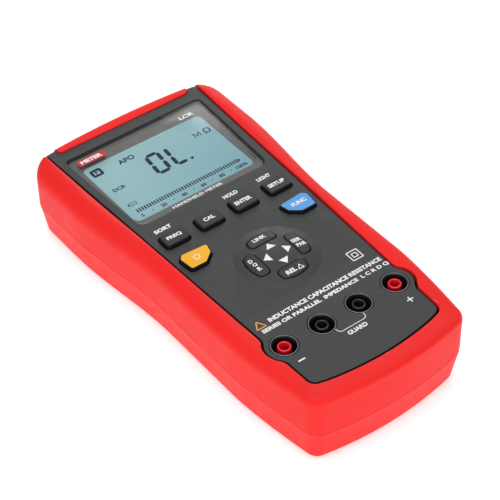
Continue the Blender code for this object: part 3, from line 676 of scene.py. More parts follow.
def rim_height(depth, radius):
    """Height of the rim's top at a depth inwards from the outline."""
    if depth < radius:
        return RIM_Z - radius + math.sqrt(max(0.0, radius**2 - (radius - depth) ** 2))
    t = min(1.0, (depth - radius) / (RIM_FALL - radius))
    return RIM_Z - RIM_CROWN * t**1.5


def rim_section(inner, outer, normal, foot_z, thick):
    """A closed section of the rim, from the groove's edge to the outline and down the wall."""
    inner, outer = Vector(inner), Vector(outer)
    radius = edge_radius(outer.y, normal)
    reach = (outer - inner).dot(normal)
    soft = min(0.4, reach * 0.3)  # radius of the rim's inner top edge
    usable = reach - soft
    tilt = math.pi / 2
    if radius > 0.85 * usable:
        tilt = math.acos(max(-1.0, 1 - 0.85 * usable / radius))
    lip = 0.2
    profile = [(lip, foot_z), (0.06, foot_z + 0.06), (0.0, foot_z + lip)]
    profile += [(0.0, z) for z in spaced(foot_z + 1.0, RIM_Z - radius - 0.5, 3)]
    for angle in spaced(0.0, tilt, 12):
        profile.append((radius * (1 - math.cos(angle)), RIM_Z - radius * (1 - math.sin(angle))))
    for depth in spaced(profile[-1][0], usable, 6)[1:]:
        profile.append((depth, rim_height(depth, radius)))
    edge_z = profile[-1][1]
    for angle in spaced(0.0, math.pi / 2, 3)[1:]:
        profile.append((usable + soft * math.sin(angle), edge_z - soft * (1 - math.cos(angle))))
    under_z, wall = PANEL_Z - thick, min(thick, reach * 0.5)
    profile += [(reach, under_z), (wall, under_z), (wall, foot_z)]
    step = (inner - outer) / reach
    return [(*(outer + step * depth), z) for depth, z in profile]


def length_along(path):
    """Distance from a path's start to each of its points."""
    return np.concatenate([[0], np.cumsum(np.hypot(*np.diff(path, axis=0).T))])


def place_along(distance, run, path):
    """The place at a distance from a path's start, where run is the path's length_along."""
    return Vector([float(np.interp(distance, run, path[:, axis])) for axis in (0, 1)])


def groove_run():
    """The groove's outer edge as matched pairs with the body's outline, for the right half."""
    distance = PANEL_GROOVE + 0.1
    right, marks = panel_side(HALF_LENGTH)
    inner = np.array(grown(both_sides(right), distance)[: len(right)])
    inner[0][0] = 0.0
    end, corner, side = 300, 120, 600  # steps of the finely drawn outline
    fine = np.array(half_outline(side=side, end=end, corner=corner))
    inner_run, outer_run = length_along(inner), length_along(fine)
    side_start = end + corner + 1
    side_stop = side_start + side - 2
    flank, head_corner = slice(side_start, side_stop), slice(side_stop, side_stop + corner + 1)
    above_lobe = slice(marks[-1], None)

    # Marks that the two edges share: foot's middle, its corner, the lobe, below the head, the end
    below_head_y = 80.0
    end_x = panel_half_width(94.3) + distance
    outer_end = np.interp(-end_x, -fine[head_corner, 0], outer_run[head_corner])
    end_y = np.interp(outer_end, outer_run, fine[:, 1])
    heights = (below_head_y, end_y - 0.6)
    inner_marks = [0.0, *inner_run[marks[1:]]]
    inner_marks += [*np.interp(heights, inner[above_lobe, 1], inner_run[above_lobe])]
    outer_marks = [0.0, outer_run[end], outer_run[end + corner]]
    outer_marks += [*np.interp((*LOBE_SPAN, below_head_y), fine[flank, 1], outer_run[flank]), outer_end]

    pairs = []
    for k, count in enumerate((26, 14, 8, 34, 60, 22)):
        for t in spaced(0.0, 1.0, count)[min(k, 1) :]:
            a = inner_marks[k] + (inner_marks[k + 1] - inner_marks[k]) * t
            b = outer_marks[k] + (outer_marks[k + 1] - outer_marks[k]) * t
            behind, edge, ahead = (place_along(b + step, outer_run, fine) for step in (-0.4, 0, 0.4))
            way = ahead - behind
            pairs.append((place_along(a, inner_run, inner), edge, Vector((way.y, -way.x)).normalized()))
    return pairs


def front_jacket():
    """The red rim and upper side walls, open at the display end."""
    sections = [rim_section(*pair, SEAM_TOP, JACKET_THICK) for pair in groove_run()]
    left = [[(-x, y, z) for x, y, z in section] for section in sections[:0:-1]]
    piece("jacket_upper", loft(left + sections), "jacket", "front_jacket", sharp=45)


def top_bar():
    """The red bar let into the display end, with rounded inner corners."""
    head = np.array(half_outline(end=120))[-140:]
    xs, ys = head[np.argsort(head[:, 0])].T
    straight = BAR_HALF - BAR_CORNER
    stations = spaced(-BAR_HALF, -straight, 8) + spaced(-straight, straight, 40)[1:]
    stations += spaced(straight, BAR_HALF, 8)[1:]
    sections = []
    for x in stations:
        side = abs(x)
        before, after = max(0.0, side - 0.5), side + 0.5
        y_before, y, y_after = np.interp((before, side, after), xs, ys)
        slope = (y_after - y_before) / (after - before)
        normal = Vector((-slope * math.copysign(1, x), 1.0)).normalized()
        over = max(0.0, side - straight)
        inner_y = BAR_Y + BAR_CORNER - math.sqrt(max(0.0, BAR_CORNER**2 - over**2))
        sections.append(rim_section((x, inner_y), (x, y), normal, BAR_FOOT_Z, BAR_THICK))
    piece("top_bar_cover", loft(sections), "jacket", "top_bar", sharp=50, bevel=0.25)


def rear_jacket():
    """The red walls below the seam, with the flat border that the meter lies on."""
    brim, middle_z = SEAM_FOOT + 0.17, 9.0
    outside = [(0.1, brim), (0.03, brim - 0.03), (0.0, brim - 0.1), (0.7, 13.0), (1.4, middle_z)]
    outside += [(2.05, 5.0), (2.42, 2.7), (2.6, 1.95), (2.9, 1.3), (3.35, 0.72), (3.95, 0.3)]
    outside += [(4.6, 0.08), (5.3, 0.0)]
    edge, inside = BASE_TAPER + BORDER_WIDTH, JACKET_THICK + BASE_TAPER + 1.0
    border = [(edge - 0.3, 0.0), (edge - 0.08, 0.08), (edge, 0.3)]
    border += [(edge, BORDER_THICK), (inside, BORDER_THICK)]
    rings = [body_ring(*level) for level in outside] + [inner_ring(*level) for level in border]
    rings += [body_ring(JACKET_THICK + BASE_TAPER * 0.5, middle_z), body_ring(JACKET_THICK, brim)]
    holes = [lathe([(0, -2), (4.4, -2), (4.2, 0.2), (4.2, 4), (0, 4)], place, 48) for place in SCREW_PLACES]
    piece("jacket_lower", cut(loft(rings, closed=True), merged(holes)), "jacket", "rear_jacket", sharp=40)


# ---- front case


def upper_body(skin=0.0, foot_z=SEAM_TOP, top_z=PANEL_Z, steps=6):
    rings = [edge_ring(skin, top_z, angle) for angle in spaced(0.0, math.pi / 2, steps)]
    return loft([body_ring(skin, foot_z), *rings])


def dome_height(x, y):
    """Height of the direction pad's dome at a place, carried on below the panel beyond its rim."""
    radius = math.hypot(x - NAV_CENTRE[0], y - NAV_CENTRE[1])
    return PANEL_Z + NAV_DOME_HEIGHT * (1 - (radius / NAV_DOME_RADIUS) ** 2)


def nav_dome():
    skirt = NAV_DOME_RADIUS + 2
    profile = [(0, PANEL_Z - 1), (skirt, PANEL_Z - 1)]
    for radius in spaced(skirt, 0.0, 24):
        profile.append((radius, dome_height(NAV_CENTRE[0] + radius, NAV_CENTRE[1])))
    return lathe(profile, NAV_CENTRE, sides=96)


def lipped(outline, low_z, lip=0.25):
    """Cutter for an opening whose top edge is rounded off."""
    levels = [(0.0, low_z), (0.0, PANEL_Z - lip), (lip * 0.3, PANEL_Z - lip * 0.3), (lip, PANEL_Z)]
    return prism(outline, levels + [(lip * 2.6, PANEL_Z + lip)])


def petal_outline(turn):
    """One direction key: straight inside, round outside, with soft corners."""
    reach = math.degrees(math.asin(NAV_HALF / NAV_OUTER))
    outer = arc((0, 0), NAV_OUTER, 4 - reach, reach - 4, 5)
    shape = rounded_polygon([(NAV_INNER, -NAV_HALF), *outer, (NAV_INNER, NAV_HALF)], 2.2)
    return turned(shape, turn, NAV_CENTRE)


def key_layout():
    """Each key's outline and the place of its plunger."""
    half_x, half_y = (size / 2 for size in KEY_SIZE)
    layout = {}
    for name, x in KEY_XS.items():
        outline = rounded_box((x - half_x, x + half_x), (KEY_Y - half_y, KEY_Y + half_y), 1.6)
        layout[name] = (outline, (x, KEY_Y))
    side_x, side_y = SIDE_PLUNGER
    layout["function_key"] = (rounded_polygon(SIDE_KEY[::-1], 1.1), (side_x, side_y))
    layout["power_key"] = (rounded_polygon([(-x, y) for x, y in SIDE_KEY], 1.1), (-side_x, side_y))
    for index, name in enumerate(NAV_KEYS):
        turn, middle = math.pi / 2 * index, (NAV_INNER + NAV_OUTER) / 2
        layout[name] = (petal_outline(turn), turned([(middle, 0.0)], turn, NAV_CENTRE)[0])
    return layout


KEY_LAYOUT = key_layout()


def front_case():
    """The dark panel with its openings, its ledge under the rim and its wall at the display end."""
    edge = -GROOVE_EASE
    panel = [(0.0, SEAM_TOP - 1), (0.0, GROOVE_FLOOR_Z - 0.8), (edge, GROOVE_FLOOR_Z - 0.6)]
    panel += [(edge, PANEL_Z - 0.2), (edge - 0.06, PANEL_Z - 0.06), (edge - 0.2, PANEL_Z)]
    panel += [(edge - 0.6, PANEL_Z + 0.2), (edge - 0.6, PANEL_Z + 3)]
    body = boolean(upper_body(), [("INTERSECT", prism(panel_outline(), panel))])
    skin, through = JACKET_THICK + GAP, LEDGE_Z - 2
    cavity = upper_body(skin + WALL_THICK, SEAM_TOP - 2, LEDGE_Z, steps=3)
    pocket = prism(grown(panel_outline(top_y=LENS_FOOT_Y), -1.6), [(0, through), (0, PLATE_Z)])
    bar_half, bar_y = BAR_HALF + GAP, (BAR_Y - GAP, HALF_LENGTH + 6)
    bar = prism(rounded_box((-bar_half, bar_half), bar_y, 2.7), [(0, BAR_FOOT_Z - GAP), (0, PANEL_Z + 4)])
    bar_space = cut(bar, upper_body(BAR_THICK + GAP, SEAM_TOP - 3, PANEL_Z - BAR_THICK - GAP))
    openings = [lipped(grown(lens_outline(), GAP + 0.15), LENS_Z[0] - GAP, lip=0.2)]
    for name, (outline, _) in KEY_LAYOUT.items():
        if name in NAV_KEYS:
            openings.append(prism(grown(outline, GAP + 0.1), [(0, through), (0, PANEL_Z + 4)]))
        else:
            openings.append(lipped(grown(outline, GAP + 0.25), through))
    r = CUP_RADIUS + GAP
    well = [(0, through), (r, through), (r, PANEL_Z - 0.3), (r + 0.09, PANEL_Z - 0.09), (r + 0.3, PANEL_Z)]
    well += [(r + 0.9, PANEL_Z + 0.4), (0, PANEL_Z + 0.4)]
    openings += [lathe(well, (x, JACK_Y)) for x in JACK_XS]
    window = rounded_box((-WINDOW_HALF_WIDTH, WINDOW_HALF_WIDTH), WINDOW_Y, 1.5)
    seat = prism(grown(lens_outline(), -LENS_SEAT), [(0, LENS_POCKET_Z), (0, PANEL_Z + 1)])
    steps = [("UNION", upper_body(skin, top_z=PANEL_Z - skin)), ("UNION", nav_dome())]
    cuts = [cavity, pocket, bar_space, merged(openings), seat, prism(window, [(0, through), (0, PANEL_Z)])]
    steps += [("DIFFERENCE", tool) for tool in cuts]
    piece("panel_front", boolean(body, steps), "panel", "front_case", sharp=25)


def groove_shade_strip():
    """A near-black strip in the groove between the panel and the red rim: painted shade for the groove's
    shadow.
    """
    right, _ = panel_side(HALF_LENGTH)
    loop = grown(both_sides(right), PANEL_GROOVE / 2)
    path = [p for p in loop[len(right) :] + loop[: len(right)] if p[1] < 95.0]
    strip = stroke(path, PANEL_GROOVE + 0.6, GROOVE_FLOOR_Z - 1, 1.0)
    piece("panel_groove_shade_strip", strip, "groove_shade_strip", sharp=50)


# ---- display


def display():
    """Clear lens over a printed border, and the display's film and segments below it."""
    lens, (under_z, top_z) = lens_outline(), LENS_Z
    levels = [(-0.2, under_z), (0.0, under_z + 0.2), (0.0, top_z - 0.3)]
    levels += [(-0.09, top_z - 0.09), (-0.3, top_z)]
    piece("lens_clear_plate", prism(lens, levels), "clear", "display_lens", sharp=25)
    flat_z, brink_z = under_z - 0.03, DISPLAY_FACE_Z + 0.05
    (left, right), (foot, head) = DISPLAY_X, DISPLAY_Y
    brink = rounded_box(DISPLAY_X, DISPLAY_Y, 2.6)
    mouth = rounded_box((left - 0.5, right + 2.2), (foot - 1.0, head + 2.2), 3.4)
    levels = [(brink, LENS_POCKET_Z - 1), (brink, brink_z), (mouth, flat_z), (mouth, flat_z + 0.2)]
    opening = loft([at(z, outline) for outline, z in levels])
    block = prism(grown(lens, -LENS_SEAT - 0.1), [(0.0, DISPLAY_FACE_Z + 0.02), (0.0, flat_z)])
    flange = prism(grown(lens, -0.05), [(0.0, under_z - GAP + 0.04), (0.0, flat_z)])
    bezel = boolean(block, [("UNION", flange), ("DIFFERENCE", opening)])
    piece("display_bezel", bezel, "print", sharp=20)
    glass_x = WINDOW_HALF_WIDTH - GAP
    glass = rounded_box((-glass_x, glass_x), (WINDOW_Y[0] + GAP, WINDOW_Y[1] - GAP), 1.2)
    levels = [(0, GLASS_Z[0]), (0, GLASS_Z[1] - 0.1), (-0.1, GLASS_Z[1])]
    film = rounded_box((left - 0.2, right + 0.3), (foot - 0.3, head + 0.3), 2.0)
    face = [prism(glass, levels), prism(film, [(0, LENS_POCKET_Z + 0.03), (0, DISPLAY_FACE_Z)])]
    piece("lcd_face", merged(face), "film", "lcd_glass")
    piece("lcd_segments", merged(display_marks()), "segment", "lcd_glass")
    badge = rounded_box((-32.6, -18.4), (78.0, 82.0), 1.0)
    piece("lens_badge", prism(badge, [(0, top_z - 0.01), (0, top_z + 0.02)]), "badge")
    white = [lettering("HANDHELD METER", (-3.0, 31.95), 1.5, 26.0, 0.02, top_z)]
    white.append(lettering("METER", (-25.5, 80.0), CAPITAL, 10.8, 0.05, top_z + 0.01))
    white.append(lettering("LCR", (24.4, 78.4), 2.3, 7.6, 0.04, top_z))
    piece("lens_marks", merged(white), "white")


# ---- print and display marks


def laid_on_dome(shape, rise=0.0):
    """The shape's heights taken from the dome, or from the key faces that follow it."""
    points, faces = shape
    return [(x, y, z + dome_height(x, y) + rise) for x, y, z in points], faces


def flat_mark(outline, low_z, thick=INK_HEIGHT):
    return loft([at(low_z, outline), at(low_z + thick, outline)])


def stroke(path, width, low_z, thick=INK_HEIGHT, closed=False):
    """A printed line of even width along a path."""
    rings, high_z = [], low_z + thick
    for i, here in enumerate(map(Vector, path)):
        before = Vector(path[i - 1]) if i or closed else here
        after = Vector(path[(i + 1) % len(path)]) if i < len(path) - 1 or closed else here
        into, out = here - before, after - here
        into = (into if into.length else out).normalized()
        out = out.normalized() if out.length else into
        way = (into + out).normalized()
        side = Vector((-way.y, way.x)) * width / 2 / max(0.4, way.dot(into))
        left, right = here + side, here - side
        rings.append([(*right, low_z), (*left, low_z), (*left, high_z), (*right, high_z)])
    return loft(rings, closed=closed)


def lettering(text, centre, height, width, bold, low_z, thick=INK_HEIGHT):
    """Characters as thin solids, fitted to a height and a width about their centre."""
    curve = bpy.data.curves.new("text", "FONT")
    curve.body, curve.offset, curve.resolution_u, curve.extrude = text, bold, 3, 0.5
    holder = new_object("text", curve)
    graph = bpy.context.evaluated_depsgraph_get()
    mesh = bpy.data.meshes.new_from_object(holder.evaluated_get(graph))
    work = bmesh.new()
    work.from_mesh(mesh)
    bmesh.ops.remove_doubles(work, verts=work.verts, dist=1e-5)
    bmesh.ops.dissolve_degenerate(work, edges=work.edges, dist=1e-5)
    places = np.array([v.co for v in work.verts])
    work.verts.index_update()
    faces = [tuple(v.index for v in face.verts) for face in work.faces]
    work.free()
    bpy.data.objects.remove(holder)
    bpy.data.meshes.remove(mesh)
    bpy.data.curves.remove(curve)
    low, high = places.min(0), places.max(0)
    flat = (places[:, :2] - (low + high)[:2] / 2) / (high - low)[:2] * np.array([width, height])
    heights = low_z + (places[:, 2] + 0.5) * thick
    return [(*spot, z) for spot, z in zip((flat + centre).tolist(), heights.tolist())], faces


SEGMENTS = {  # ends of each bar of a seven-segment figure, as shares of its width and height
    "top": ((0, 1), (1, 1)), "foot": ((0, 0), (1, 0)),
    "upper_left": ((0, 0.5), (0, 1)), "lower_left": ((0, 0), (0, 0.5)),
    "upper_right": ((1, 0.5), (1, 1)), "lower_right": ((1, 0), (1, 0.5)),
}
ZERO = list(SEGMENTS)
LETTER_L = ["foot", "upper_left", "lower_left"]


def segment_figure(place, size, lit):
    """Outlines of one seven-segment figure's bars, each pointed at its ends."""
    bar, gap, slant = 1.9, 0.15, math.tan(math.radians(5))
    (x0, y0), (w, h) = place, (size[0] - bar, size[1] - bar)
    outlines = []
    for name in lit:
        a, b = (Vector((x0 + bar / 2 + x * w, y0 + bar / 2 + y * h)) for x, y in SEGMENTS[name])
        way = (b - a).normalized()
        side, tip = Vector((-way.y, way.x)) * bar / 2, way * bar / 2
        a, b = a + way * gap, b - way * gap
        outline = [a, a + tip - side, b - tip - side, b, b - tip + side, a + tip + side]
        outlines.append([(p.x + (p.y - y0) * slant, p.y) for p in outline])
    return outlines


def display_marks():
    """The display's reading, its bar graph with a scale, and its small signs."""
    low = DISPLAY_FACE_Z - INK_SINK
    outlines = segment_figure((-6.9, 55.2), (7.7, 14.4), ZERO)
    outlines += segment_figure((3.0, 55.2), (7.2, 14.4), LETTER_L)
    outlines.append(rounded_box((10.8, 12.2), (55.2, 56.7), 0.3))
    start, end, foot, head = -27.3, 25.0, 41.0, 43.3
    outlines += [box((x - 0.36, x + 0.36), (foot, head)) for x in spaced(start, end, 40)]
    tip = end + 0.75
    outlines.append([(tip, foot - 0.1), (tip + 1.7, (foot + head) / 2), (tip, head + 0.1)])
    for x in (-21.8, -10.8, -0.3, 9.8, 19.9):
        outlines.append(rounded_box((x - 0.3, x + 0.3), (38.4, 39.0), 0.15))
    outlines.append(box((-29.0, -28.3), (46.7, 47.5)))
    outlines += [box((x, x + 0.8), (46.95, 47.25)) for x in (-27.5, -26.1)]
    shapes = [flat_mark(outline, low) for outline in outlines]
    rows = [("0", (-27.1, 38.5), 2.0, 1.2, 0.03), ("100%", (25.4, 38.5), 2.0, 6.0, 0.03)]
    middle = [("20", -16.2), ("40", -5.4), ("60", 4.8), ("80", 14.8)]
    rows += [(text, (x, 38.5), 2.0, 2.8, 0.03) for text, x in middle]
    rows += [("APO", (-12.2, 72.8), 3.0, 8.2, 0.03), ("DCR", (-25.3, 58.9), 2.1, 6.4, 0.035)]
    rows += [("\u03a9", (27.7, 67.4), 3.6, 3.7, 0.02), ("P", (-27.3, 73.3), 2.0, 1.5, 0.03)]
    shapes += [lettering(*row, low) for row in rows]
    letter_m = [(20.9, 65.9), (20.9, 68.9), (22.4, 66.7), (23.9, 68.9), (23.9, 65.9)]
    shapes.append(stroke(letter_m, 0.5, low))
    shapes.append(stroke(rounded_box((-29.4, -25.2), (71.5, 75.1), 0.4), 1.3, low, closed=True))
    shapes.append(stroke(rounded_box((-28.2, -24.6), (46.2, 48.0), 0.2), 0.28, low, closed=True))
    return shapes


def panel_marks():
    """White and amber print on the panel."""
    low = PANEL_Z - INK_SINK
    rows = [("SORT", (-27.3, 23.6), CAPITAL, 8.4, 0.045), ("HOLD", (8.0, 23.6), CAPITAL, 7.4, 0.045)]
    rows += [("LIGHT", (25.9, 23.6), CAPITAL, 7.0, 0.045), ("GUARD", (0.0, -70.6), CAPITAL, 9.6, 0.035)]
    rows.append(("INDUCTANCE CAPACITANCE RESISTANCE", (3.9, -45.7), 2.3, 58.1, 0.04))
    rows.append(("SERIES OR PARALLEL  IMPEDANCE  L C R D Q", (1.5, -49.5), 2.3, 65.0, 0.04))
    white = [lettering(*row, low) for row in rows]
    bracket = [(7.3, -65.4), (6.9, -67.3), (5.8, -68.1), (-5.9, -68.1), (-6.9, -67.3), (-7.3, -65.6)]
    white.append(stroke(bracket, 0.3, low))
    arm, half = 1.6, 0.28
    quarter = [(half, half), (half, arm), (-half, arm)]
    plus = [spot for step in range(4) for spot in turned(quarter, math.pi / 2 * step, (27.0, -71.2))]
    white.append(flat_mark(plus, low))
    white.append(flat_mark(rounded_box((-29.6, -26.2), (-70.6, -69.9), 0.15), low))
    white.append(stroke(rounded_box((23.4, 28.6), (-40.3, -35.1), 0.3), 0.5, low, closed=True))
    white.append(stroke(rounded_box((24.9, 27.1), (-38.8, -36.6), 0.2), 0.45, low, closed=True))
    piece("panel_print_white", merged(white), "white")
    triangle = rounded_polygon([(-32.0, -47.3), (-27.4, -47.3), (-29.7, -43.3)], 0.25)
    piece("panel_print_amber", stroke(triangle, 0.55, low, closed=True), "amber")
    arrow = [(3.9, -2.35), (7.1, 0.0), (3.9, 2.35)]
    outlines = [turned(arrow, math.pi / 2 * step, NAV_CENTRE) for step in range(4)]
    arrows = [laid_on_dome(flat_mark(outline, -LEGEND_SINK, 0.1)) for outline in outlines]
    piece("nav_arrows", merged(arrows), "white")


LEGENDS = {  # each key's lettering: text, width, and its place from the key's plunger
    "key_far_left": [("FREQ", 7.2, (0.0, 0.2))],
    "key_left": [("CAL", 5.4, (0.0, 0.2))],
    "key_right": [("ENTER", 8.4, (0.0, 0.2))],
    "key_far_right": [("SETUP", 8.4, (0.0, 0.2))],
    "function_key": [("FUNC", 7.4, (-0.1, 1.2))],
    "power_key": [],
    "nav_key_up": [("LINK", 6.4, (-0.4, 0.5))],
    "nav_key_down": [("REL", 5.0, (-1.7, -0.3))],
    "nav_key_right": [("SER", 4.8, (-0.1, 1.7)), ("PAR", 4.8, (0.3, -1.4))],
    "nav_key_left": [("D", 1.7, (-0.4, 2.9)), ("Q", 1.9, (-0.1, 0.2)), ("R", 1.7, (0.1, -2.6))],
}


def key_marks():
    """Each key's legend, which rides with the key."""
    for name, lines in LEGENDS.items():
        x, y = KEY_LAYOUT[name][1]
        on_dome = name in NAV_KEYS
        low, height = (-LEGEND_SINK, 2.1) if on_dome else (KEY_TOP_Z - LEGEND_SINK, CAPITAL)
        bold = 0.035 if name == "function_key" else 0.04
        shapes = []
        for text, width, (dx, dy) in lines:
            shapes.append(lettering(text, (x + dx, y + dy), height, width, bold, low, LEGEND_HEIGHT))
        if name == "power_key":
            ring, bar = arc((-26.9, 0.0), 1.35, 125, 415, 24), [(-26.9, 0.5), (-26.9, 1.9)]
            shapes += [stroke(path, 0.36, low, LEGEND_HEIGHT) for path in (ring, bar)]
        if name == "nav_key_down":
            triangle = [(x + 1.6, y - 1.3), (x + 4.2, y - 1.3), (x + 2.9, y + 0.8)]
            shapes.append(stroke(triangle, 0.34, low, 0.06, closed=True))
        if on_dome:
            shapes = [laid_on_dome(shape, NAV_KEY_RISE) for shape in shapes]
        piece(f"{name}_legend", merged(shapes), "white", body=f"{name}_body")


# ---- keys and jacks


def key_shape(outline, place, face, fillet):
    """A cap with a soft top edge under a given face, a flange under the plate and a plunger."""
    centre = Vector((sum(x for x, _ in outline), sum(y for _, y in outline))) / len(outline)
    rings = []
    for growth, z in [(1.0, FLANGE_Z[0]), (1.0, FLANGE_Z[1]), (0.0, FLANGE_Z[1]), (0.0, PANEL_Z - 1.2)]:
        rings.append(at(z, grown(outline, growth)))
    for angle in spaced(0.0, math.pi / 2, 6):
        drop, inset = fillet * (1 - math.sin(angle)), 0.1 + fillet * (1 - math.cos(angle))
        rings.append([(x, y, face(x, y) - drop) for x, y in grown(outline, -inset)])
    last = rings[-1]
    for share in (0.92, 0.8, 0.65, 0.5, 0.35, 0.2, 0.08):
        spots = [centre + (Vector(p[:2]) - centre) * share for p in last]
        rings.append([(p.x, p.y, face(p.x, p.y)) for p in spots])
    r, (foot_z, top_z) = PLUNGER_RADIUS, PLUNGER_Z
    plunger = [(0, foot_z), (r - 0.2, foot_z), (r, foot_z + 0.2), (r, top_z), (0, top_z)]
    return boolean(loft(rings), [("UNION", lathe(plunger, place, 32))])


def nav_face(x, y):
    return dome_height(x, y) + NAV_KEY_RISE


def flat_face(x, y):
    return KEY_TOP_Z - FACE_STEP


def keys():
    """Caps coloured near-black, painted shade for their sides and the gaps round them, each with a paler or
    coloured face let into its top; the direction keys are plain.
    """
    coloured = {"function_key": ("blue", 0.3), "power_key": ("yellow", 0.3)}
    for name, (outline, place) in KEY_LAYOUT.items():
        body = f"{name}_body"
        if name in NAV_KEYS:
            shape = key_shape(outline, place, nav_face, 0.5)
            piece(f"{name}_cap", shape, "nav_key", name, body=body, sharp=38)
            continue
        shape = key_shape(outline, place, flat_face, 0.35)
        # the cap's near-black colour is painted shade for its sides and gap
        piece(f"{name}_cap", shape, "key_edge", name, body=body, sharp=38)
        surface, inset = coloured.get(name, ("key", 0.5))
        top = KEY_TOP_Z
        levels = [(0.0, top - 0.9), (0.0, top - 0.1), (-0.03, top - 0.03), (-0.1, top)]
        piece(f"{name}_face", prism(grown(outline, -inset), levels), surface, name, body=body, sharp=30)


def jacks():
    """Black cups whose lip carries a grey ring, a painted highlight, each with an insulating sleeve round a
    brass tube.
    """
    r, bore, foot, top = CUP_RADIUS, CUP_BORE, CUP_FOOT_Z, CUP_TOP_Z
    cup = [(r, foot), (r, 31.4), (CUP_FLANGE, 31.4), (CUP_FLANGE, 32.9), (r, 32.9), (r, top - 0.12)]
    cup += [(r - 0.05, top), (5.3, top), (5.1, top - 0.12), (4.92, 35.5), (bore, 35.2), (bore, foot + 1.9)]
    cup += [(bore - 0.25, foot + 1.6), (3.35, foot + 1.6), (3.35, foot)]
    # grey ring on the cup's lip: a painted highlight
    rim = [(r, 35.85), (r - 0.04, 35.96), (r - 0.12, 36.0), (5.44, 36.0), (5.36, 35.96), (5.32, 35.85)]
    r, bore, foot = SLEEVE_RADIUS, SLEEVE_BORE, SLEEVE_FOOT_Z
    wide, over_z = TUBE_RADIUS + GAP, TUBE_Z[1] + GAP
    sleeve = [(r + 0.15, foot), (r + 0.15, 33.0), (r, 33.3), (r, 35.1), (2.82, 35.32), (2.65, 35.45)]
    sleeve += [(2.3, 35.45), (2.12, 35.35), (bore, 35.1), (bore, 33.0)]
    sleeve += [(bore + 0.05, over_z), (wide, over_z), (wide, foot)]
    r, bore, (foot, top) = TUBE_RADIUS, TUBE_BORE, TUBE_Z
    tube = [(r - 0.1, foot), (r, foot + 0.1), (r, top - 0.1), (r - 0.1, top), (bore + 0.1, top)]
    tube += [(bore, top - 0.1), (bore, foot)]
    for number, x in enumerate(JACK_XS, 1):
        colour = "jack_red" if number in (1, len(JACK_XS)) else "cup"
        for part, profile, surface, node in [
            ("cup", cup, "cup", "cup"), ("rim", rim, "rim", "cup"),
            ("sleeve", sleeve, colour, "insulator"), ("tube", tube, "brass", "contact"),
        ]:
            piece(f"jack_{number}_{part}", lathe(profile, (x, JACK_Y)), surface, f"jack_{node}_{number}")


# ---- underside


def sunk(outline, foot, flare, depth):
    """Cutter for a shallow hollow in an underside, with flared sides."""
    return prism(outline, [(flare, foot - 1), (flare, foot), (0, foot + depth)])


def battery_door():
    """The door with a soft edge, grip ridges, a moulded arrow and its screw hole."""
    foot, top = DOOR_Z
    levels = [(-0.4, foot), (-0.12, foot + 0.1), (0.0, foot + 0.4), (0.0, top - 0.15), (-0.15, top)]
    hole, head = SCREW_SHANK_RADIUS + GAP, SCREW_HEAD_RADIUS + GAP
    bore = [(0, -1), (head + 0.4, -1), (head + 0.4, foot), (head, foot + 0.35), (head, 1.4)]
    cuts = [lathe([*bore, (hole, 1.4), (hole, 4), (0, 4)], DOOR_SCREW, 48)]
    for y in spaced(-33.0, -42.6, 6):
        cuts.append(sunk(rounded_box((-11.0, 11.0), (y - 0.45, y + 0.45), 0.4), foot, 0.2, 0.45))
    cuts.append(sunk(rounded_polygon([(-3.4, -28.6), (0.0, -31.4), (3.4, -28.6)], 0.4), foot, 0.15, 0.4))
    shape = cut(prism(rounded_box(DOOR_X, DOOR_Y, 2.0), levels), merged(cuts))
    piece("battery_door_cover", shape, "case", "battery_door", body="battery_door_body", sharp=30)


def tilt_stand():
    """The leg with soft edges, sunk panels and a finger step, on its barrel and pin."""
    half, (foot, top) = STAND_HALF_WIDTH, STAND_Z
    levels = [(-0.4, foot), (-0.12, foot + 0.1), (0.0, foot + 0.4), (0.0, top - 0.3), (-0.3, top)]
    leg = prism(rounded_box((-half, half), (STAND_FOOT_Y, STAND_AXIS[0] - 0.6), 2.6), levels)
    barrel = rod_x(half - 0.02, STAND_AXIS, STAND_BARREL_RADIUS, 48, chamfer=0.3)
    bore = rod_x(half + 2, STAND_AXIS, PIN_RADIUS + GAP)
    cuts = [sunk(rounded_box((-9.0, 9.0), (-3.0, 5.4), 2.0), foot, 0.3, 0.8)]
    for left in (-17.0, -5.2, 6.6):
        cuts.append(sunk(rounded_box((left, left + 10.4), (12.0, 46.0), 2.0), foot, 0.25, 0.55))
    shape = boolean(leg, [("UNION", barrel), ("DIFFERENCE", bore), ("DIFFERENCE", merged(cuts))])
    piece("tilt_stand_leg", shape, "case", "tilt_stand", body="stand_body", sharp=30)
    piece("stand_pin_rod", rod_x(PIN_HALF, STAND_AXIS, PIN_RADIUS, chamfer=0.2), "steel", "stand_pin")


def screw_shape(place, foot_z, head_height, tip_z):
    """A pan-head screw with a cross recess and rolled ridges down its shank."""
    r, shank, head_z = SCREW_HEAD_RADIUS, SCREW_SHANK_RADIUS, foot_z + head_height
    profile = [(0, foot_z), (r - 1.1, foot_z), (r - 0.5, foot_z + 0.08), (r - 0.15, foot_z + 0.2)]
    profile += [(r, foot_z + 0.42), (r, head_z), (shank, head_z)]
    z = head_z + 0.6
    while z < tip_z - 1.6:
        profile += [(shank, z), (shank - 0.22, z + 0.3)]
        z += 0.6
    profile += [(shank - 0.1, tip_z - 1.2), (0.3, tip_z - 0.1), (0, tip_z)]
    x, y = place
    cross = []
    for half_x, half_y in [(1.5, 0.32), (0.32, 1.5)]:
        slot = box((x - half_x, x + half_x), (y - half_y, y + half_y))
        levels = [(0.1, foot_z - 1), (0.0, foot_z + 0.02), (-0.12, foot_z + head_height * 0.45)]
        cross.append(prism(slot, levels))
    return cut(lathe(profile, place, 40), *cross)


def screws():
    for index, place in enumerate(SCREW_PLACES):
        name = f"case_screw_{index + 1}"
        piece(f"{name}_steel", screw_shape(place, 2.2, 2.2, 26.0), "steel", name)
    shape = screw_shape(DOOR_SCREW, 0.6, 0.5, 11.0)
    piece("battery_door_screw_steel", shape, "steel", "battery_door_screw", body="battery_door_body")


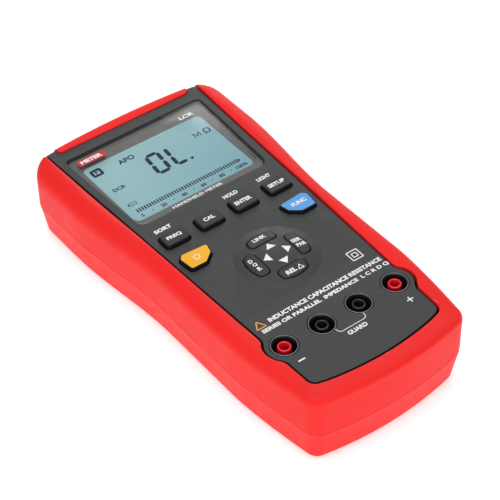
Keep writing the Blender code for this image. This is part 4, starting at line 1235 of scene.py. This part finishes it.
# ---- carried-over nodes


CARRIED = {
    "board": ["display_board", "input_board", "main_board"],
    "case": ["rear_case", "lcd_frame"],
    "light": ["backlight_panel"],
    "key": ["contact_strip_lower", "contact_strip_upper"],
    "mat": ["keypad_mat"],
    "steel": ["dome_sheet", "timing_crystal"],
    "chip": ["input_header", "main_header", "processor_chip", "converter_chip", "buzzer", "battery_snap"],
    "relay": ["range_relay"],
    "cell": ["battery"],
}


def carried_over():
    """CAD nodes whose shape stands as it is get their finish here."""
    for surface, names in CARRIED.items():
        for name in names:
            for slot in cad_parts[name].material_slots:
                slot.material = M[surface]


# ---- studio


def face_along(made, way):
    made.rotation_mode = "QUATERNION"
    made.rotation_quaternion = way.to_track_quat("-Z", "Y")


def camera():
    turn, rise = math.radians(CAMERA_AZIMUTH), math.radians(CAMERA_ELEVATION)
    back = Vector((math.sin(turn) * math.cos(rise), -math.cos(turn) * math.cos(rise), math.sin(rise)))
    data = bpy.data.cameras.new("camera")
    data.lens, data.sensor_width = CAMERA_LENS, 36.0
    data.shift_x, data.shift_y = CAMERA_SHIFT
    data.clip_start, data.clip_end = 0.05, 20.0
    made = new_object("camera", data)
    made.location = CAMERA_TARGET + back * CAMERA_DISTANCE
    face_along(made, -back)
    bpy.context.scene.camera = made


def studio():
    """Soft lights round the object, which lies on white paper."""
    scene = bpy.context.scene
    scene.view_settings.view_transform = "Standard"
    scene.view_settings.look = "None"
    world = bpy.data.worlds.new("studio")
    world.use_nodes = True
    background = next(n for n in world.node_tree.nodes if n.type == "BACKGROUND")
    background.inputs["Color"].default_value = (1.0, 1.0, 1.0, 1.0)
    background.inputs["Strength"].default_value = WORLD_LIGHT
    scene.world = world
    for name, (place, aim, size, power) in LIGHTS.items():
        data = bpy.data.lights.new(name, "AREA")
        data.shape, data.size, data.energy = "DISK", size, power
        made = new_object(name, data)
        made.location = place
        face_along(made, Vector(aim) - Vector(place))
    span = (-FLOOR_HALF, FLOOR_HALF)
    mesh = new_mesh("floor", (at(FLOOR_Z, box(span, span)), [(0, 1, 2, 3)]))
    mesh.materials.append(M["paper"])
    new_object("floor", mesh)


front_jacket()
top_bar()
rear_jacket()
front_case()
groove_shade_strip()
display()
panel_marks()
keys()
key_marks()
jacks()
battery_door()
tilt_stand()
screws()
carried_over()
camera()
studio()
